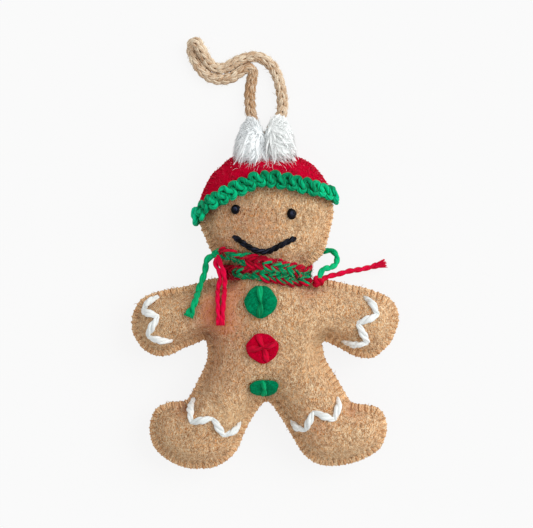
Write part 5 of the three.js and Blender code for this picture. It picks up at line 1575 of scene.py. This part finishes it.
def knitted(band, diameter, wales, pitch, strand, seed):
    """A cord's legs in columns round it, as lines[stitch, leg, station, xyz], with their runs.

    In each column two legs of two strands open in a V: each climbs, turns round the cord by up to
    half a column, stands off in its middle and dives under the next stitch.
    """
    stitches = int(band.length / pitch)
    random = np.random.default_rng(seed)
    t = np.linspace(0, 1, 8)
    half_width = 0.5 * diameter * np.sin(np.pi / wales)
    slant = np.arctan2(0.75 * half_width, 1.2 * pitch)
    bulge = 0.95 * (np.sin(np.pi * (0.06 + 0.94 * t) ** 0.85) - 1)
    legs = []
    for wale, side, strand_side in itertools.product(range(wales), (-1, 1), (-1, 1)):
        spread = strand_side * 0.85 * strand * (0.55 + 0.45 * np.sin(np.pi * t) ** 0.5)
        first = pitch * (np.arange(stitches)[:, None] + wale / wales) + random.normal(0, 0.1, (stitches, 1))
        u = leg_places(first, pitch, t, spread, slant, band.length)
        away = half_width * (0.08 + 0.72 * np.sin(0.6 * np.pi * t)) + spread * np.cos(slant)
        turn = 2 * np.pi * (wale + 0.25) / wales + side * away / (0.5 * diameter) + 0.01 * u
        reach = 0.5 * diameter - strand + bulge + random.normal(0, 0.06, (stitches, 1))
        legs.append(on_band(band, u, reach * np.cos(turn), reach * np.sin(turn)))
    return np.stack(legs, axis=1), pitch * np.arange(stitches)


loop_yarn = yarn_look("loop_yarn_look", (0.5, 0.29, 0.15), (0.95, 0.82, 0.63), fibre=2000, bump=0.7)
loop_legs, loop_starts = knitted(
    loop_band, LOOP_DIAMETER + LOOP_FULLNESS, LOOP_WALES, LOOP_PITCH, LOOP_STRAND, 81,
)
loop_tones = np.random.default_rng(82).uniform(-1, 1, loop_legs.shape[:2])
loop_tones = loop_tones - 1.3 * (1 - ramp(loop_starts, LOOP_DARK_START - 4, LOOP_DARK_START + 2))[:, None]
loop_core = tubes(loop_line[None, ::3], 0.5 * LOOP_DIAMETER - 0.75, 10)
loop = chain_piece(
    "loop_cord", loop_legs, LOOP_STRAND, loop_core, loop_yarn, loop_tones,
    np.zeros(loop_legs.shape[:2]), "loop_yarn", "hanging_loop", body="loop",
)
loop_fibre = yarn_look("loop_fibre_look", (0.8, 0.62, 0.42), (1.0, 0.93, 0.78), fibre=1500, bump=0.0)
picked = places_on(loop_legs, LOOP_HAIRS, hair_draws)
loop_base = loop_legs[picked]
loop_out = loop_base - read_along(loop_band.run, loop_line, loop_starts[picked[0]] + 0.45 * LOOP_PITCH)
loop_out /= np.linalg.norm(loop_out, axis=1, keepdims=True)
loop_heading = hair_draws.normal(0, 1, (LOOP_HAIRS, 3))
loop_hairs = loose_hairs(loop_base + 0.4 * loop_out, loop_out, loop_heading, 1.7, 0.35, 0.06, 85)
yarn_piece("loop_fuzz", [loop_hairs], loop_fibre, "loop_yarn", body="loop")
knot = box_of("loop_knot")[2]
knot_strand = trefoil(knot, 9.2, 1.35, 0.3)
knot_strand[:, 2] = knot[2] + (knot_strand[:, 2] - knot[2]) * 1.3
knot_plies = plied(np.vstack([knot_strand, knot_strand[:1]]), np.array([[0, 0, 1.0]]), 0.7, 3, 5.0)
yarn_piece("loop_knot_yarn", toned([
    tubes(knot_plies, 0.72, 8), blob(knot, (2.2, 2.2, 1.8)),
], 83), loop_yarn, "loop_yarn", "loop_knot", body="loop")
low, high, middle = box_of("loop_anchor")
anchor_line = smooth([
    [middle[0], low[1] + 0.5, high[2] - 0.4], middle, [middle[0], high[1] - 0.5, low[2] + 0.5],
], 24)
anchor_plies = plied(anchor_line, np.array([[1.0, 0, 0]]), 0.3, 2, 2.2)
yarn_piece("anchor_thread", toned([tubes(anchor_plies, 0.34, 7)], 84), red_thread, "red_yarn", "loop_anchor")

low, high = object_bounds()
